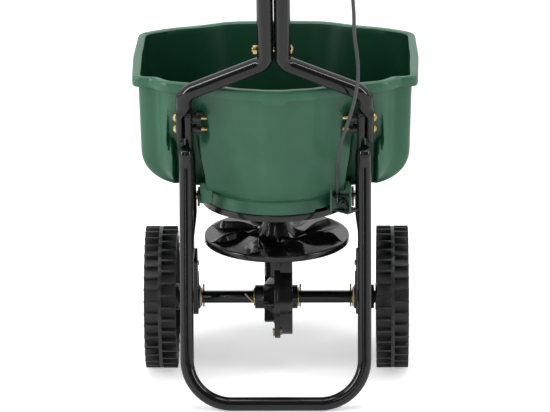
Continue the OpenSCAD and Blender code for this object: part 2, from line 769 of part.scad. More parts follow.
gear_room = gear_r + face_w / 2 + 1.1;
pinion_room = pinion_r + tip_h + 1.5;
foot_z = axle_z + 28;
foot_h = 8;
box_boss_l = 31.5;
box_boss_r = 29.3;
cone_x = 15.6;

module shaft_room() {
    translate([0, 0, foot_z + foot_h + 1]) cylinder(h = column_top - 15 - foot_z - foot_h - 1, r = pinion_room);
    translate([0, 0, column_top - 16]) cylinder(h = 20, r = bush_r + snug);
}
module axle_room() along_x(-60, 0, axle_z) cylinder(h = 120, r = axle_r + bush_wall + snug);
screw_circle = flange_r - 2.9;
module box_screw_spots() {
    for (a = [-140, -90, -40]) translate([0, screw_circle * cos(a), axle_z + screw_circle * sin(a)]) children();
    for (s = [-1, 1]) translate([0, s * 26, column_top - 8]) children();
}

foot_in = 6.5;
foot_w = 16;
module gearbox_left_shell() color(black) difference() {
    union() {
        difference() {
            left_shell_outer();
            along_x(split_x - flange_t - cone_x + 2.5, 0, axle_z)
                cylinder(h = cone_x + flange_t, r1 = boss_d / 2 - shell_wall, r2 = 40 - shell_wall + 6);
            shaft_room();
            axle_room();
            translate([split_x, 0, 0]) box_screw_spots() rotate([0, -90, 0])
                cylinder(h = 20, r = screw_r + 0.2);
        }
        // Foot bearing for the shaft, cast in one with the cone's wall
        translate([-foot_in, -foot_w / 2, foot_z]) cube([foot_in + shaft_r + 2.5, foot_w, foot_h]);
    }
    translate([0, 0, foot_z - past]) cylinder(h = foot_h + 1 + 2 * past, r = shaft_r + run_fit);
}

module left_shell_outer() {
    box_x(split_x - flange_t, split_x, flange_r, 31, column_top);
    along_x(split_x - flange_t - cone_x, 0, axle_z) cylinder(h = cone_x, r1 = boss_d / 2, r2 = 40);
    along_x(-box_boss_l, 0, axle_z) cylinder(h = box_boss_l - cone_x, r = boss_d / 2);
    intersection() {
        translate([0, 0, axle_z + 34]) cylinder(h = column_top - axle_z - 34, r = column_r);
        translate([-40, -40, axle_z]) cube([40 + split_x, 80, 120]);
    }
    // Stiffening ribs on the cone
    for (a = [0 : 45 : 315]) if (a != 90) rotate_about_axle(a)
        translate([split_x - flange_t - cone_x + 1, -1.5, 0]) cube([cone_x, 3, 38]);
}

module rotate_about_axle(a) translate([0, 0, axle_z]) rotate([a - 90, 0, 0]) children();

module gearbox_right_shell() color(black) {
    difference() {
        union() {
            box_x(split_x + 0.05, split_x + flange_t, flange_r, 31, column_top);
            box_x(split_x + 1, drum_x, drum_r, 28, column_top);
            along_x(drum_x - 1, 0, axle_z) cylinder(h = box_boss_r - drum_x + 1, r = boss_d / 2);
        }
        along_x(0, 0, axle_z) cylinder(h = drum_x - 2.5, r = gear_room);
        shaft_room();
        axle_room();
        translate([split_x, 0, 0]) box_screw_spots() rotate([0, 90, 0]) cylinder(h = 8, r = screw_r);
    }
}

module gearbox_screws() color(zinc) translate([split_x - flange_t - seat_gap, 0, 0]) box_screw_spots() {
    rotate([0, -90, 0]) cylinder(h = 2.4, r = 3.4);
    rotate([0, 90, 0]) cylinder(h = 11, r = screw_r - snug);
}

module column_bush() color(bronze) translate([0, 0, column_top - 15.6]) difference() {
    union() {
        cylinder(h = 15.8, r = bush_r);
        translate([0, 0, 15.8]) cylinder(h = 0.9, r = 12);
    }
    translate([0, 0, -past]) cylinder(h = 20, r = shaft_r + run_fit);
}

module gearbox_bushes() color([0.80, 0.78, 0.70]) {
    for (span = [[-box_boss_l, -cone_x - 4], [drum_x - 2, box_boss_r]])
        along_x(span[0], 0, axle_z) sleeve(axle_r + bush_wall, axle_r + run_fit, span[1] - span[0]);
}

// Axle, with a hole for each pin or clip
bracket_in = leg_x - flat_t / 2 - bracket_wall;
bracket_out = leg_x + flat_t / 2 + bracket_wall;
boss_in = 110;
wheel_in = wheel_x - wheel_w / 2;
wheel_out = wheel_x + wheel_w / 2;
boss_out = wheel_in - 3.5;
hub_in = wheel_in - 1.5;
hub_out = wheel_out - 10;
axle_end = wheel_out - 1;
bush_flange = 1.2;
inner_washer = boss_in - bush_flange - seat_gap - washer_t;
outer_washer = hub_out + seat_gap;
box_washer_l = -box_boss_l - seat_gap - washer_t;
box_washer_r = box_boss_r + seat_gap;
drive_pin_x = hub_out - 4;
washer_xs = [
    inner_washer, -inner_washer - washer_t, outer_washer, -outer_washer - washer_t, box_washer_l, box_washer_r
];
clip_xs = [
    inner_washer - 2, -inner_washer + 2, outer_washer + washer_t + 2, -outer_washer - washer_t - 2,
    box_washer_l - 2, box_washer_r + washer_t + 2
];
// The fifth clip has an outer leg that lies slantwise on the near side of the axle
side_clip = 4;
clip_turns = [0, 0, 90, 90, 110, 0];

module axle() color(black) difference() {
    along_x(-axle_end, 0, axle_z) cylinder(h = 2 * axle_end, r = axle_r);
    for (k = [0 : len(clip_xs) - 1]) translate([clip_xs[k], 0, axle_z]) rotate([clip_turns[k], 0, 0])
        cylinder(h = 30, r = clip_d / 2 + 0.1, center = true);
    translate([gear_pin_x, 0, axle_z]) rotate([90, 0, 0]) cylinder(h = 30, r = 1.5 + snug, center = true);
    translate([-drive_pin_x, 0, axle_z]) cylinder(h = 30, r = 2.4 + snug, center = true);
}

module axle_washers() color(zinc) {
    for (x = washer_xs) along_x(x, 0, axle_z) sleeve(washer_d / 2, axle_r + 0.25, washer_t);
}

// Wire clips: a straight leg through the axle and an eye above it
module axle_clips() color(zinc) {
    clip_r = clip_d / 2;
    for (k = [0 : len(clip_xs) - 1]) translate([clip_xs[k], 0, axle_z]) rotate([clip_turns[k], 0, 0]) {
        reach = k == side_clip ? 1.5 : 4;
        translate([0, 0, -axle_r - 6]) cylinder(h = 2 * axle_r + 6 + reach, r = clip_r);
        if (k != side_clip) translate([0, 0, axle_r + 6]) rotate([90, 0, 90]) rotate_extrude()
            translate([3.2, 0]) circle(clip_r, $fn = 20);
    }
    near = -axle_r - clip_r - seat_gap;
    rod([clip_xs[side_clip] + 0.8, near, axle_z - 4], [clip_xs[side_clip] - 10.3, near, axle_z + 7.8], clip_r);
}

// Wheel for the right side: two rows of paddles, a half step apart, on a dished body
module tread2d(shift) {
    base = wheel_d / 2 - paddle_h;
    half = paddle_t / 2 / base * 180 / PI;
    tip = paddle_t / 2 / (wheel_d / 2) * 180 / PI * 0.8;
    difference() {
        polygon([for (k = [0 : paddle_n - 1]) each let (a = (k + shift) * 360 / paddle_n) [
            base * [cos(a - half), sin(a - half)], wheel_d / 2 * [cos(a - tip), sin(a - tip)],
            wheel_d / 2 * [cos(a + tip), sin(a + tip)], base * [cos(a + half), sin(a + half)]
        ]]);
        circle(base - wheel_rim_t, $fn = 96);
    }
}

module wheel_body(bore) {
    row = (wheel_w - band_w) / 2;
    rim_in = wheel_d / 2 - paddle_h - wheel_rim_t;
    along_x(wheel_in, 0, axle_z) {
        linear_extrude(row) tread2d(0);
        translate([0, 0, row]) sleeve(wheel_d / 2 - 0.4, rim_in, band_w, $fn = 96);
        translate([0, 0, row + band_w]) linear_extrude(row) tread2d(0.5);
        difference() {
            union() {
                translate([0, 0, (wheel_w - wheel_web_t) / 2])
                    cylinder(h = wheel_web_t, r = rim_in + 0.5, $fn = 96);
                translate([0, 0, hub_in - wheel_in]) cylinder(h = hub_out - hub_in, r = wheel_hub_d / 2);
                for (k = [0 : wheel_ribs - 1]) rotate([0, 0, k * 360 / wheel_ribs])
                    translate([wheel_hub_d / 2 - 2, -1.5, 6])
                        cube([rim_in - wheel_hub_d / 2 + 2.5, 3, wheel_w - 14]);
            }
            translate([0, 0, -10]) cylinder(h = wheel_w + 20, r = bore);
        }
    }
}

module drive_wheel() color(black) mirror([1, 0, 0]) difference() {
    wheel_body(axle_r + snug);
    // Slot across the hub's outer face, which the drive pin turns
    translate([drive_pin_x - 2.6, -2.6, axle_z - wheel_hub_d]) cube([20, 5.2, 2 * wheel_hub_d]);
}

module free_wheel() color(black) wheel_body(axle_r + run_fit);

module wheel_drive_pin() color(zinc) translate([-drive_pin_x, 0, axle_z])
    cylinder(h = wheel_hub_d - 3, r = 2.4, center = true);

module axle_bushes() color([0.80, 0.78, 0.70]) both_sides() {
    along_x(boss_in - bush_flange, 0, axle_z) sleeve(washer_d / 2 + 1.5, axle_r + run_fit, bush_flange - 0.05);
    along_x(boss_in - 0.1, 0, axle_z) sleeve(axle_r + bush_wall, axle_r + run_fit, boss_out - boss_in + 0.4);
}

// Bracket at the foot of the right leg: a socket over its flat end and a bearing boss for the axle
flat_end = 50;
module axle_bracket() difference() {
    union() {
        along_rake_x(bracket_in) linear_extrude(bracket_out - bracket_in) {
            circle(bracket_r);
            polygon([
                [-bracket_r, 0], [-bracket_r, -2], [-flat_w / 2 - 3.4, -bracket_top],
                [flat_w / 2 + 3.4, -bracket_top], [bracket_r, -2], [bracket_r, 0]
            ]);
        }
        along_x(boss_in, 0, axle_z) cylinder(h = boss_out - boss_in, r = boss_d / 2);
        // Web between the boss and the inner face
        rake_frame() translate([boss_in + 1, -2, boss_d / 2 - 3]) cube([bracket_in - boss_in, 4, 34]);
    }
    along_x(boss_in - past, 0, axle_z)
        cylinder(h = boss_out - boss_in + 2 * past, r = axle_r + bush_wall + snug);
    rake_frame() translate([leg_x, 0, flat_end - 0.5]) linear_extrude(60) stadium2d(flat_w + 0.4, flat_t + 0.4);
    rivet_spot() cylinder(h = through, r = rivet_r + snug, center = true);
}
// A plane figure whose -Y runs up along the leg, extruded along +X from x
module along_rake_x(x) translate([x, 0, axle_z]) rotate([tilt, 0, 0])
    rotate([90, 0, 90]) mirror([0, 1, 0]) children();

rivet_r = 2.5;
rivet_s = 66;
module rivet_spot() rake_frame() translate([leg_x, 0, rivet_s]) rotate([0, 90, 0]) children();

module left_axle_bracket() color(black) mirror([1, 0, 0]) axle_bracket();
module right_axle_bracket() color(black) axle_bracket();

module bracket_rivets() color(zinc) both_sides() rivet_spot() {
    half = (bracket_out - bracket_in) / 2;
    cylinder(h = 2 * half + 1, r = rivet_r, center = true);
    for (s = [-1, 1]) scale([1, 1, s]) translate([0, 0, half + seat_gap]) cylinder(h = 1.8, r1 = 4.6, r2 = 3);
}

// Right leg: flat in its bracket, then round, then pressed oval where the handle's flat end is bolted on
round_low = 170;
flat_high = 110;
oval_low = 262;
oval_len = 30;
flat_up = bolt_low + bolt_gap + 12;
leg_top = flat_up - 2;
module leg() difference() {
    rake_frame() translate([leg_x, 0, 0]) {
        translate([0, 0, oval_low + oval_len]) linear_extrude(leg_top - oval_low - oval_len)
            flat_ring2d(oval_w, leg_flat);
        translate([0, 0, oval_low]) tube_to_flat(oval_len, tube_r, oval_w, leg_flat);
        translate([0, 0, round_low]) linear_extrude(oval_low - round_low) ring2d(tube_r, tube_wall);
        translate([0, 0, round_low]) mirror([0, 0, 1])
            tube_to_flat(round_low - flat_high, tube_r, flat_w, flat_t);
        translate([0, 0, flat_end]) linear_extrude(flat_high - flat_end) flat_ring2d(flat_w, flat_t);
    }
    rivet_spot() cylinder(h = through, r = rivet_r + snug, center = true);
    side_bolt_spots() cylinder(h = through, r = bolt_r + 0.2, center = true);
    hopper_bolt_spot() cylinder(h = through, r = bolt_r + 0.2, center = true);
}
module left_leg() color(black) mirror([1, 0, 0]) leg();
module right_leg() color(black) leg();

module leg_caps() color(dark) both_sides() rake_frame() translate([leg_x, 0, leg_top]) {
    translate([0, 0, seat_gap]) linear_extrude(1.6) stadium2d(oval_w - 0.6, leg_flat - 0.6);
    translate([0, 0, seat_gap + 1.6]) linear_extrude(1.4) stadium2d(oval_w - 4, leg_flat - 4);
    translate([0, 0, -5]) linear_extrude(5 + seat_gap + 0.1)
        stadium2d(oval_w - 2 * (tube_wall + snug), leg_flat - 2 * (tube_wall + snug));
}

// Side bolts lie along X through the handle's flat end and the leg
handle_out_x = leg_x + leg_flat / 2 + 0.15 + handle_flat_t / 2;
handle_round_x = handle_out_x + handle_flat_t / 2 - handle_r + 0.4;
module side_bolt_spots() rake_frame() {
    for (k = [0, 1]) translate([leg_x, 0, bolt_low + k * bolt_gap]) rotate([0, 90, 0]) children();
}
side_head_x = handle_out_x + handle_flat_t / 2 + seat_gap;
knob_x = leg_x - leg_flat / 2 - seat_gap - knob_hub - knob_t;
module side_bolts() color(zinc) both_sides() side_bolt_spots() {
    head = side_head_x - leg_x;
    end = knob_x - 8 - leg_x;
    translate([0, 0, end]) cylinder(h = head - end + 0.5, r = bolt_r);
    translate([0, 0, head]) cylinder(h = 1.5, r = 6.5);
    translate([0, 0, head + 1.5]) cylinder(h = 2.8, r1 = 6.5, r2 = 3);
}

module side_knobs() color(black) both_sides() side_bolt_spots() translate([0, 0, knob_x - leg_x]) difference() {
    union() {
        translate([0, 0, 1]) cylinder(h = knob_t + knob_hub - 1, r = 6);
        cylinder(h = knob_t, r = knob_d / 2 - 2.2);
        for (a = [0 : 60 : 300]) rotate([0, 0, a]) translate([knob_d / 2 - 2.3, 0, 0])
            cylinder(h = knob_t - 1.5, r = 2.2);
    }
    translate([0, 0, -past]) cylinder(h = knob_t + knob_hub + 2 * past, r = bolt_r + snug);
}

// Stand: one U of tube whose tops turn along the backs of the legs, are drawn in and welded there
stand_top = bolt_low - 20;
nose_r = 5;
neck = 22;
weld_y = -oval_w / 2 - seat_gap;
stand_foot = [0, -stand_back, tube_r];
neck_pt = rake_pt(0, weld_y - tube_r, stand_top - stand_nose - neck);
stand_lean = atan2(neck_pt[1] - stand_foot[1], neck_pt[2] - stand_foot[2]);
stand_len = norm([neck_pt[1] - stand_foot[1], neck_pt[2] - stand_foot[2]]);
module stand_frame() translate(stand_foot) rotate([-stand_lean, 0, 0]) children();
end_r = tube_r - 3 * lap_step;
end_turns = [for (k = [0 : 31]) k * 360 / 32];
neck_ring = [for (a = end_turns) let (y = end_r * sin(a), z = stand_len - lap) stand_foot + [
    stand_x + end_r * cos(a),
    y * cos(stand_lean) + z * sin(stand_lean),
    z * cos(stand_lean) - y * sin(stand_lean)
]];
// Ring at a share t of the rounded top
function top_ring(t) = let (r = nose_r + (end_r - nose_r) * sqrt(1 - t * t)) [
    for (a = end_turns) rake_pt(stand_x + r * cos(a), weld_y - r + r * sin(a), stand_top - stand_nose * (1 - t))
];

module stand_tube() color(black) {
    stand_frame() bent_tube(
        [[-stand_x, stand_len], [-stand_x, 0], [stand_x, 0], [stand_x, stand_len]],
        [stand_bend, stand_bend]
    );
    both_sides() ring_solid(concat([neck_ring], [for (t = [0, 0.35, 0.6, 0.8, 0.93, 1]) top_ring(t)]));
}

// The hopper hangs on a bolt through each leg, by an angle bracket under its pad
hopper_bolt_s = 195;
hopper_bolt_y = -hopper_bolt_s * sin(tilt);
hopper_bolt_z = axle_z + hopper_bolt_s * cos(tilt);
module hopper_bolt_spot() translate([leg_x, hopper_bolt_y, hopper_bolt_z]) rotate([0, 90, 0]) children();
plate_t = 3;
plate_x = block_x[1] + seat_gap + plate_t;
plate_low = seat_z + 10;
plate_screw = [-67, seat_z + 18];
module hopper_brackets() color(black) both_sides() difference() {
    translate([plate_x - plate_t, lug_y[0], plate_low])
        cube([plate_t, lug_y[1] - lug_y[0], under_z - 2 * seat_gap - plate_low]);
    hopper_bolt_spot() cylinder(h = through, r = bolt_r + 0.2, center = true);
    along_x(plate_x - 10, plate_screw[0], plate_screw[1]) cylinder(h = 20, r = screw_r + 0.2);
}
module hopper_bolts() color(zinc) both_sides() hopper_bolt_spot() {
    head = tube_r + seat_gap;
    end = plate_x - plate_t - 10 - leg_x;
    translate([0, 0, end]) cylinder(h = head - end + 0.3, r = bolt_r);
    translate([0, 0, head]) cylinder(h = 3.4, r = 6);
}
module hopper_nuts() color(zinc) both_sides() hopper_bolt_spot() {
    translate([0, 0, plate_x - plate_t - leg_x - 5.5 - seat_gap]) hex_nut();
    // Washer between the bracket and the leg
    translate([0, 0, plate_x - leg_x + seat_gap])
        sleeve(bolt_r + 3.4, bolt_r + 0.1, leg_x - tube_r - plate_x - 2 * seat_gap);
}
module hex_nut() difference() {
    cylinder(h = 5.5, r = 6.4, $fn = 6);
    translate([0, 0, -past]) cylinder(h = 8, r = bolt_r + snug);
}
module bracket_screws() color(zinc) both_sides() along_x(plate_x, plate_screw[0], plate_screw[1]) {
    translate([0, 0, seat_gap]) cylinder(h = 2, r = 3.4);
    translate([0, 0, -11]) cylinder(h = 11.5, r = screw_r - snug);
}

// Lower handle tube for the right side: flat end, outer bend, arm, inner bend, upright run
flat_low = bolt_low - 13;
arm_start = arm_low - 18.5;
module lower_handle() difference() {
    rake_frame() {
        translate([handle_out_x, 0, flat_low]) linear_extrude(flat_up - flat_low)
            flat_ring2d(handle_flat_w, handle_flat_t);
        translate([handle_round_x, 0, arm_start]) mirror([0, 0, 1]) tube_to_flat(
            arm_start - flat_up, handle_r, handle_flat_w, handle_flat_t, handle_out_x - handle_round_x
        );
        bent_tube(
            [
                [handle_round_x, arm_start], [handle_round_x, arm_low],
                [handle_x, arm_high], [handle_x, handle_joint]
            ],
            [arm_bend_out, arm_bend_in], handle_r
        );
    }
    side_bolt_spots() cylinder(h = through, r = bolt_r + 0.2, center = true);
    handle_bolt_spots() cylinder(h = through, r = bolt_r + 0.2, center = true);
}
module left_lower_handle() color(black) mirror([1, 0, 0]) lower_handle();
module right_lower_handle() color(black) lower_handle();

// Bolts through both handle tubes: one at the bend, one through the tubes' joint
swage_len = 40;
swage_r = handle_r - tube_wall - snug;
cross_bolts = [arm_high + 23, handle_joint - swage_len / 2];
module handle_bolt_spots() rake_frame()
    for (s = cross_bolts) translate([0, 0, s]) rotate([0, 90, 0]) children();
module handle_bolts() color(zinc) handle_bolt_spots() {
    edge = handle_x + handle_r + seat_gap;
    translate([0, 0, -edge - 7]) cylinder(h = 2 * edge + 7.5, r = bolt_r);
    translate([0, 0, edge]) cylinder(h = 1, r = 6.6);
    translate([0, 0, edge + 1]) cylinder(h = 2.2, r1 = 6.6, r2 = 3);
}
module handle_nuts() color(zinc) handle_bolt_spots()
    translate([0, 0, -handle_x - handle_r - seat_gap - 5.5]) hex_nut();

module upper_handle() difference() {
    rake_frame() {
        translate([handle_x, 0, handle_joint - swage_len]) linear_extrude(swage_len + 0.5)
            ring2d(swage_r, tube_wall);
        translate([handle_x, 0, handle_joint + 0.2]) linear_extrude(1.2)
            ring2d(handle_r, 2 * tube_wall + 0.6);
        bent_tube(
            [[handle_x, handle_joint + 1.4], [handle_x, handle_top], [grip_end - 4, handle_top]],
            [bar_bend], handle_r
        );
    }
    handle_bolt_spots() cylinder(h = through, r = bolt_r + 0.2, center = true);
}
module left_upper_handle() color(black) mirror([1, 0, 0]) upper_handle();
module right_upper_handle() color(black) upper_handle();

grip_rib = 1.2;
module grip() rake_frame() translate([grip_end - grip_len, 0, handle_top]) rotate([0, 90, 0]) difference() {
    rotate_extrude() {
        square([grip_d / 2 - grip_rib, grip_len - 3]);
        translate([0, grip_len - 3.01])
            polygon([[0, 0], [grip_d / 2 - grip_rib, 0], [grip_d / 2 - 5, 3], [0, 3]]);
        for (k = [0 : 8]) translate([0, 8 + k * 9]) square([grip_d / 2, 4.5]);
        square([grip_d / 2 + 2, 4]);
    }
    translate([0, 0, -past]) cylinder(h = grip_len - 4 + 2 * seat_gap + past, r = handle_r + 0.05);
}
module left_grip() color(black) mirror([1, 0, 0]) grip();
module right_grip() color(black) grip();

// Console behind the handle tubes: a moulded body, a back plate and a clamp plate in front of the tubes
console_y = -handle_r - seat_gap;
back_t = 4;
console_top = console_low + console_h;
console_far = console_y - back_t - console_deep;
lever_x = 14;
lever_y = -52;
lever_s = console_top - 40;
lever_t = 5;
lever_back = 25;
wire_arm = 13.4;
dial_x = -20;
dial_y = -52;
round_c = 8;

module console_block2d(half, far, near) {
    translate([-half, far + round_c]) square([2 * half, near - far - round_c]);
    translate([-half + round_c, far]) square([2 * half - 2 * round_c, round_c + 1]);
    for (s = [-1, 1]) translate([s * (half - round_c), far + round_c]) circle(round_c);
}

module console_body() color(dark) rake_frame() difference() {
    translate([0, 0, console_low]) linear_extrude(console_h)
        console_block2d(console_half, console_far, console_y - back_t);
    translate([0, 0, console_low + console_wall]) linear_extrude(console_h - 2 * console_wall)
        console_block2d(console_half - console_wall, console_far + console_wall, console_y - back_t + past);
    // Slot for the lever, hole for the dial's spindle, hole for the cable, holes for the pivot pin
    reach = console_top - lever_s;
    slot_far = lever_y - (reach + 4) * tan(lever_back) - lever_t;
    slot_near = lever_y + (reach + 4) * tan(lever_swing - lever_back) + lever_t;
    translate([lever_x - lever_t / 2 - 0.7, slot_far, console_top - 10])
        cube([lever_t + 1.4, slot_near - slot_far, 20]);
    translate([dial_x, dial_y, console_top - 10]) cylinder(h = 20, r = 4 + run_fit);
    translate([lever_x, cable_y, console_low - past]) cylinder(h = 10, r = ferrule_r + snug);
    translate([0, lever_y, lever_s]) rotate([0, 90, 0])
        cylinder(h = 200, r = lever_pin_r + snug, center = true);
    // Sloping lower edge at the far side
    translate([-100, console_far - 20, console_low - 20]) rotate([-45, 0, 0])
        translate([0, -40, 0]) cube([200, 40, 40]);
}

module console_back() color(black) rake_frame() difference() {
    union() {
        translate([-console_half, console_y - back_t + 0.1, console_low])
            cube([2 * console_half, back_t - 0.1, console_h]);
        // Bosses that take the screws of the body
        for (x = [-1, 1], s = console_screw_s) translate([x * (console_half - 9), console_y - back_t + 0.2, s])
            rotate([90, 0, 0]) cylinder(h = 14, r = 4.5);
    }
    clamp_holes();
    for (x = [-1, 1], s = console_screw_s) translate([x * (console_half - 9), console_y + past, s])
        rotate([90, 0, 0]) cylinder(h = 30, r = screw_r);
}
console_screw_s = [console_low + 12, console_top - 12];
clamp_screw_s = [console_low + 22, console_top - 22];
clamp_screw_x = handle_x + handle_r + 4.5;
module clamp_holes() for (x = [-1, 1], s = clamp_screw_s) translate([x * clamp_screw_x, 0, s])
    rotate([90, 0, 0]) cylinder(h = 60, r = 2.2, center = true);

module console_clamp() color(black) rake_frame() difference() {
    translate([-clamp_screw_x - 5, handle_r + seat_gap, console_low + 10])
        cube([2 * clamp_screw_x + 10, 3, console_h - 20]);
    clamp_holes();
}

module console_screws() color(zinc) rake_frame() {
    front = handle_r + seat_gap + 3 + seat_gap;
    for (x = [-1, 1], s = clamp_screw_s) translate([x * clamp_screw_x, front, s]) rotate([90, 0, 0]) {
        translate([0, 0, -2.6]) cylinder(h = 2.6, r = 4);
        cylinder(h = front - console_y + back_t + 3, r = 2);
        translate([0, 0, front - console_y + back_t + seat_gap]) cylinder(h = 3.2, r = 4, $fn = 6);
    }
    for (x = [-1, 1], s = console_screw_s)
        translate([x * (console_half - 9), console_y + seat_gap, s]) rotate([90, 0, 0]) {
            translate([0, 0, -1.2]) cylinder(h = 1.2, r = 3);
            cylinder(h = back_t + 12, r = screw_r - snug);
        }
}

lever_pin_r = 2.5;
module lever_pin() color(steel) rake_frame() translate([0, lever_y, lever_s]) rotate([0, 90, 0])
    cylinder(h = 2 * console_half - 1, r = lever_pin_r, center = true);

// Control lever, drawn shut: pulled back towards the operator
module lever_frame() rake_frame() translate([lever_x, lever_y, lever_s]) rotate([lever_back, 0, 0]) children();
module control_lever() color(steel) lever_frame() translate([-lever_t / 2, 0, 0]) rotate([90, 0, 90])
    linear_extrude(lever_t) difference() {
        union() {
            circle(8);
            translate([-4.5, 0]) square([9, lever_len]);
            rotate(-lever_back + 8) {
                translate([-wire_arm, -3.8]) square([wire_arm, 7.6]);
                translate([-wire_arm, 0]) circle(4);
            }
        }
        circle(lever_pin_r + run_fit);
    }

module lever_knob() color(green) lever_frame() difference() {
    translate([0, 0, lever_len - 14]) rotate_extrude()
        polygon([[0, 0], [7, 0], [10, 6], [11, 16], [8, 24], [0, 27]]);
    translate([-lever_t / 2 - snug, -4.5 - snug, lever_len - 20])
        cube([lever_t + 2 * snug, 9 + 2 * snug, 20 + seat_gap]);
}

module rate_dial() color(black) rake_frame() translate([dial_x, dial_y, console_top + seat_gap]) {
    difference() {
        cylinder(h = 3, r = dial_r);
        translate([dial_r - 5, 0, 2]) cylinder(h = 2, r = 1.4);
    }
    translate([0, 0, 2.9]) {
        cylinder(h = 6, r = dial_r - 7);
        translate([-dial_r + 4, -2.2, 0]) cube([2 * dial_r - 8, 4.4, 8]);
    }
    translate([0, 0, -console_wall - 3]) cylinder(h = console_wall + 3.2, r = 4);
}

// Control cable: hand-laid route from the console down behind the right arm to its guide,
// with its heights above the axle
ferrule_r = 3.8;
ferrule_len = 12;
ferrule_hold = 4;
cable_room = 0.5;
cable_y = lever_y - wire_arm;
cable_top_s = console_low - ferrule_len + ferrule_hold;
cable_route = [
    [20, -411, 766.5], [40, -394, 713.5], [67, -364, 653.5], [92, -325, 588.5], [104, -292, 538.5],
    [108, -268, 498.5], [109, -249, 459.5], [113, -234, 423.5], [114, -220, 390.5], [111, -208, 364.5],
    [105.5, -196, 336.5], [98.5, -182, 309.5], [92, -169, 285.5], [88, -158, 263.5], [86, -147, 245.5],
    [85.5, -135, 232.5], [85.5, -124, 219.5], [86, -117, 208.5], [86, -111, 200], [86, -104, 193.5],
    [86, -97.5, 189], [86, -93, 186.5], [86, -92, 183.5]
];
cable_end = [crank_x - crank_arm, crank_y, crank_z + 8.5];
cable_knots = concat(
    [rake_pt(lever_x, cable_y, cable_top_s), rake_pt(lever_x, cable_y, cable_top_s - 12)],
    [for (k = cable_route) k + [0, 0, axle_z]],
    [cable_end]
);
// Rings between two knots
cable_part = 3;
function spline(a, b, c, d, t) = 0.5 * (
    2 * b + (c - a) * t + (2 * a - 5 * b + 4 * c - d) * t * t + (3 * b - a - 3 * c + d) * t * t * t
);
function cable_knot(i) = let (n = len(cable_knots)) i < 0 ? 2 * cable_knots[0] - cable_knots[1]
    : i > n - 1 ? 2 * cable_knots[n - 1] - cable_knots[n - 2] : cable_knots[i];
cable_line = concat(
    [for (i = [0 : len(cable_knots) - 2], k = [0 : cable_part - 1])
        spline(cable_knot(i - 1), cable_knot(i), cable_knot(i + 1), cable_knot(i + 2), k / cable_part)],
    [cable_end]
);
module control_cable() color([0.25, 0.25, 0.27]) {
    n = len(cable_line);
    sides = 8;
    ring_solid([for (i = [0 : n - 1]) let (
        d = cable_line[min(n - 1, i + 1)] - cable_line[max(0, i - 1)],
        u = cross(d, [0, 1, 0.3]) / norm(cross(d, [0, 1, 0.3])),
        v = cross(u, d) / norm(cross(u, d))
    ) [for (k = [0 : sides - 1]) let (a = -k * 360 / sides)
        cable_line[i] + cable_d / 2 * (cos(a) * u + sin(a) * v)]]);
}

module cable_ferrules() color(black) {
    rake_frame() translate([lever_x, cable_y, console_low - ferrule_len]) difference() {
        union() {
            cylinder(h = ferrule_len + 3, r = ferrule_r);
            cylinder(h = ferrule_len - 1, r = 5.5);
        }
        translate([0, 0, -past]) cylinder(h = ferrule_len + 6, r = wire_r + 0.3);
        translate([0, 0, -past]) cylinder(h = ferrule_hold + 0.1 + past, r = cable_d / 2 + cable_room);
    }
    translate(cable_end) difference() {
        union() {
            translate([0, 0, -1.6]) cylinder(h = 4.8, r = 4.2);
            translate([-6.7, 0, -1.6]) cube([
                guide_x[1] - guide_wall - cable_end[0] + 6.4 - seat_gap, guide_back - cable_end[1] - seat_gap, 3
            ]);
        }
        translate([0, 0, -0.1]) cylinder(h = 6, r = cable_d / 2 + cable_room);
        translate([0, 0, -3]) cylinder(h = 4, r = wire_r + 0.3);
    }
}

module cable_wire() color(steel) {
    // Its lower end lies in the crank's fork when that is shut
    low = crank_z - crank_arm * sin(crank_swing / 2) - fork_r + 0.5;
    translate([cable_end[0], cable_end[1], low]) cylinder(h = cable_end[2] - 0.5 - low, r = wire_r);
}

hopper();
base_plate();
base_screws();
plate_bush();
shutoff_plate();
shutoff_crank();
crank_pin();
agitator();
impeller_shaft();
impeller();
impeller_pin();
pinion();
column_bush();
drive_gear();
gear_pin();
gearbox_left_shell();
gearbox_right_shell();
gearbox_screws();
gearbox_bushes();
axle();
axle_washers();
axle_clips();
drive_wheel();
wheel_drive_pin();
free_wheel();
axle_bushes();
left_axle_bracket();
right_axle_bracket();
bracket_rivets();
left_leg();
right_leg();
leg_caps();
stand_tube();
hopper_brackets();
hopper_bolts();
hopper_nuts();
bracket_screws();
left_lower_handle();
right_lower_handle();
side_bolts();
side_knobs();
handle_bolts();
handle_nuts();
left_upper_handle();
right_upper_handle();
left_grip();
right_grip();
console_body();
console_back();
console_clamp();
console_screws();
control_lever();
lever_knob();
lever_pin();
rate_dial();
control_cable();
cable_ferrules();
cable_wire();
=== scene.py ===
import json
from math import atan, atan2, ceil, cos, floor, hypot, pi, radians, sin, tan

import bmesh
import bpy
import numpy as np
from mathutils import Matrix, Vector


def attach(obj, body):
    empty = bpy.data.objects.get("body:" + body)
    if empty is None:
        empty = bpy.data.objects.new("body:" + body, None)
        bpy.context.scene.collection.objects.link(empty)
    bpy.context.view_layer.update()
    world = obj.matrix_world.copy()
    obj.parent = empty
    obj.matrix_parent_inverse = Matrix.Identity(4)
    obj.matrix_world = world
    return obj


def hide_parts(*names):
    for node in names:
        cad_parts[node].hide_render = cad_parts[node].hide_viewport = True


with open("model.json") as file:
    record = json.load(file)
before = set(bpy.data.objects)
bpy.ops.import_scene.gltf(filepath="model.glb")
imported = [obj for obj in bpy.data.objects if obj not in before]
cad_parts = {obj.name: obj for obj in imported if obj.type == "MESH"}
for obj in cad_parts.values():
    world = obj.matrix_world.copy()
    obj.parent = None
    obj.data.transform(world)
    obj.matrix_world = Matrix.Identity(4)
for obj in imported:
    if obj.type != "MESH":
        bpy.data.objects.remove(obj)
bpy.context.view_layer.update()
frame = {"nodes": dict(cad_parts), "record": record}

nodes = frame["nodes"]
scene = bpy.context.scene

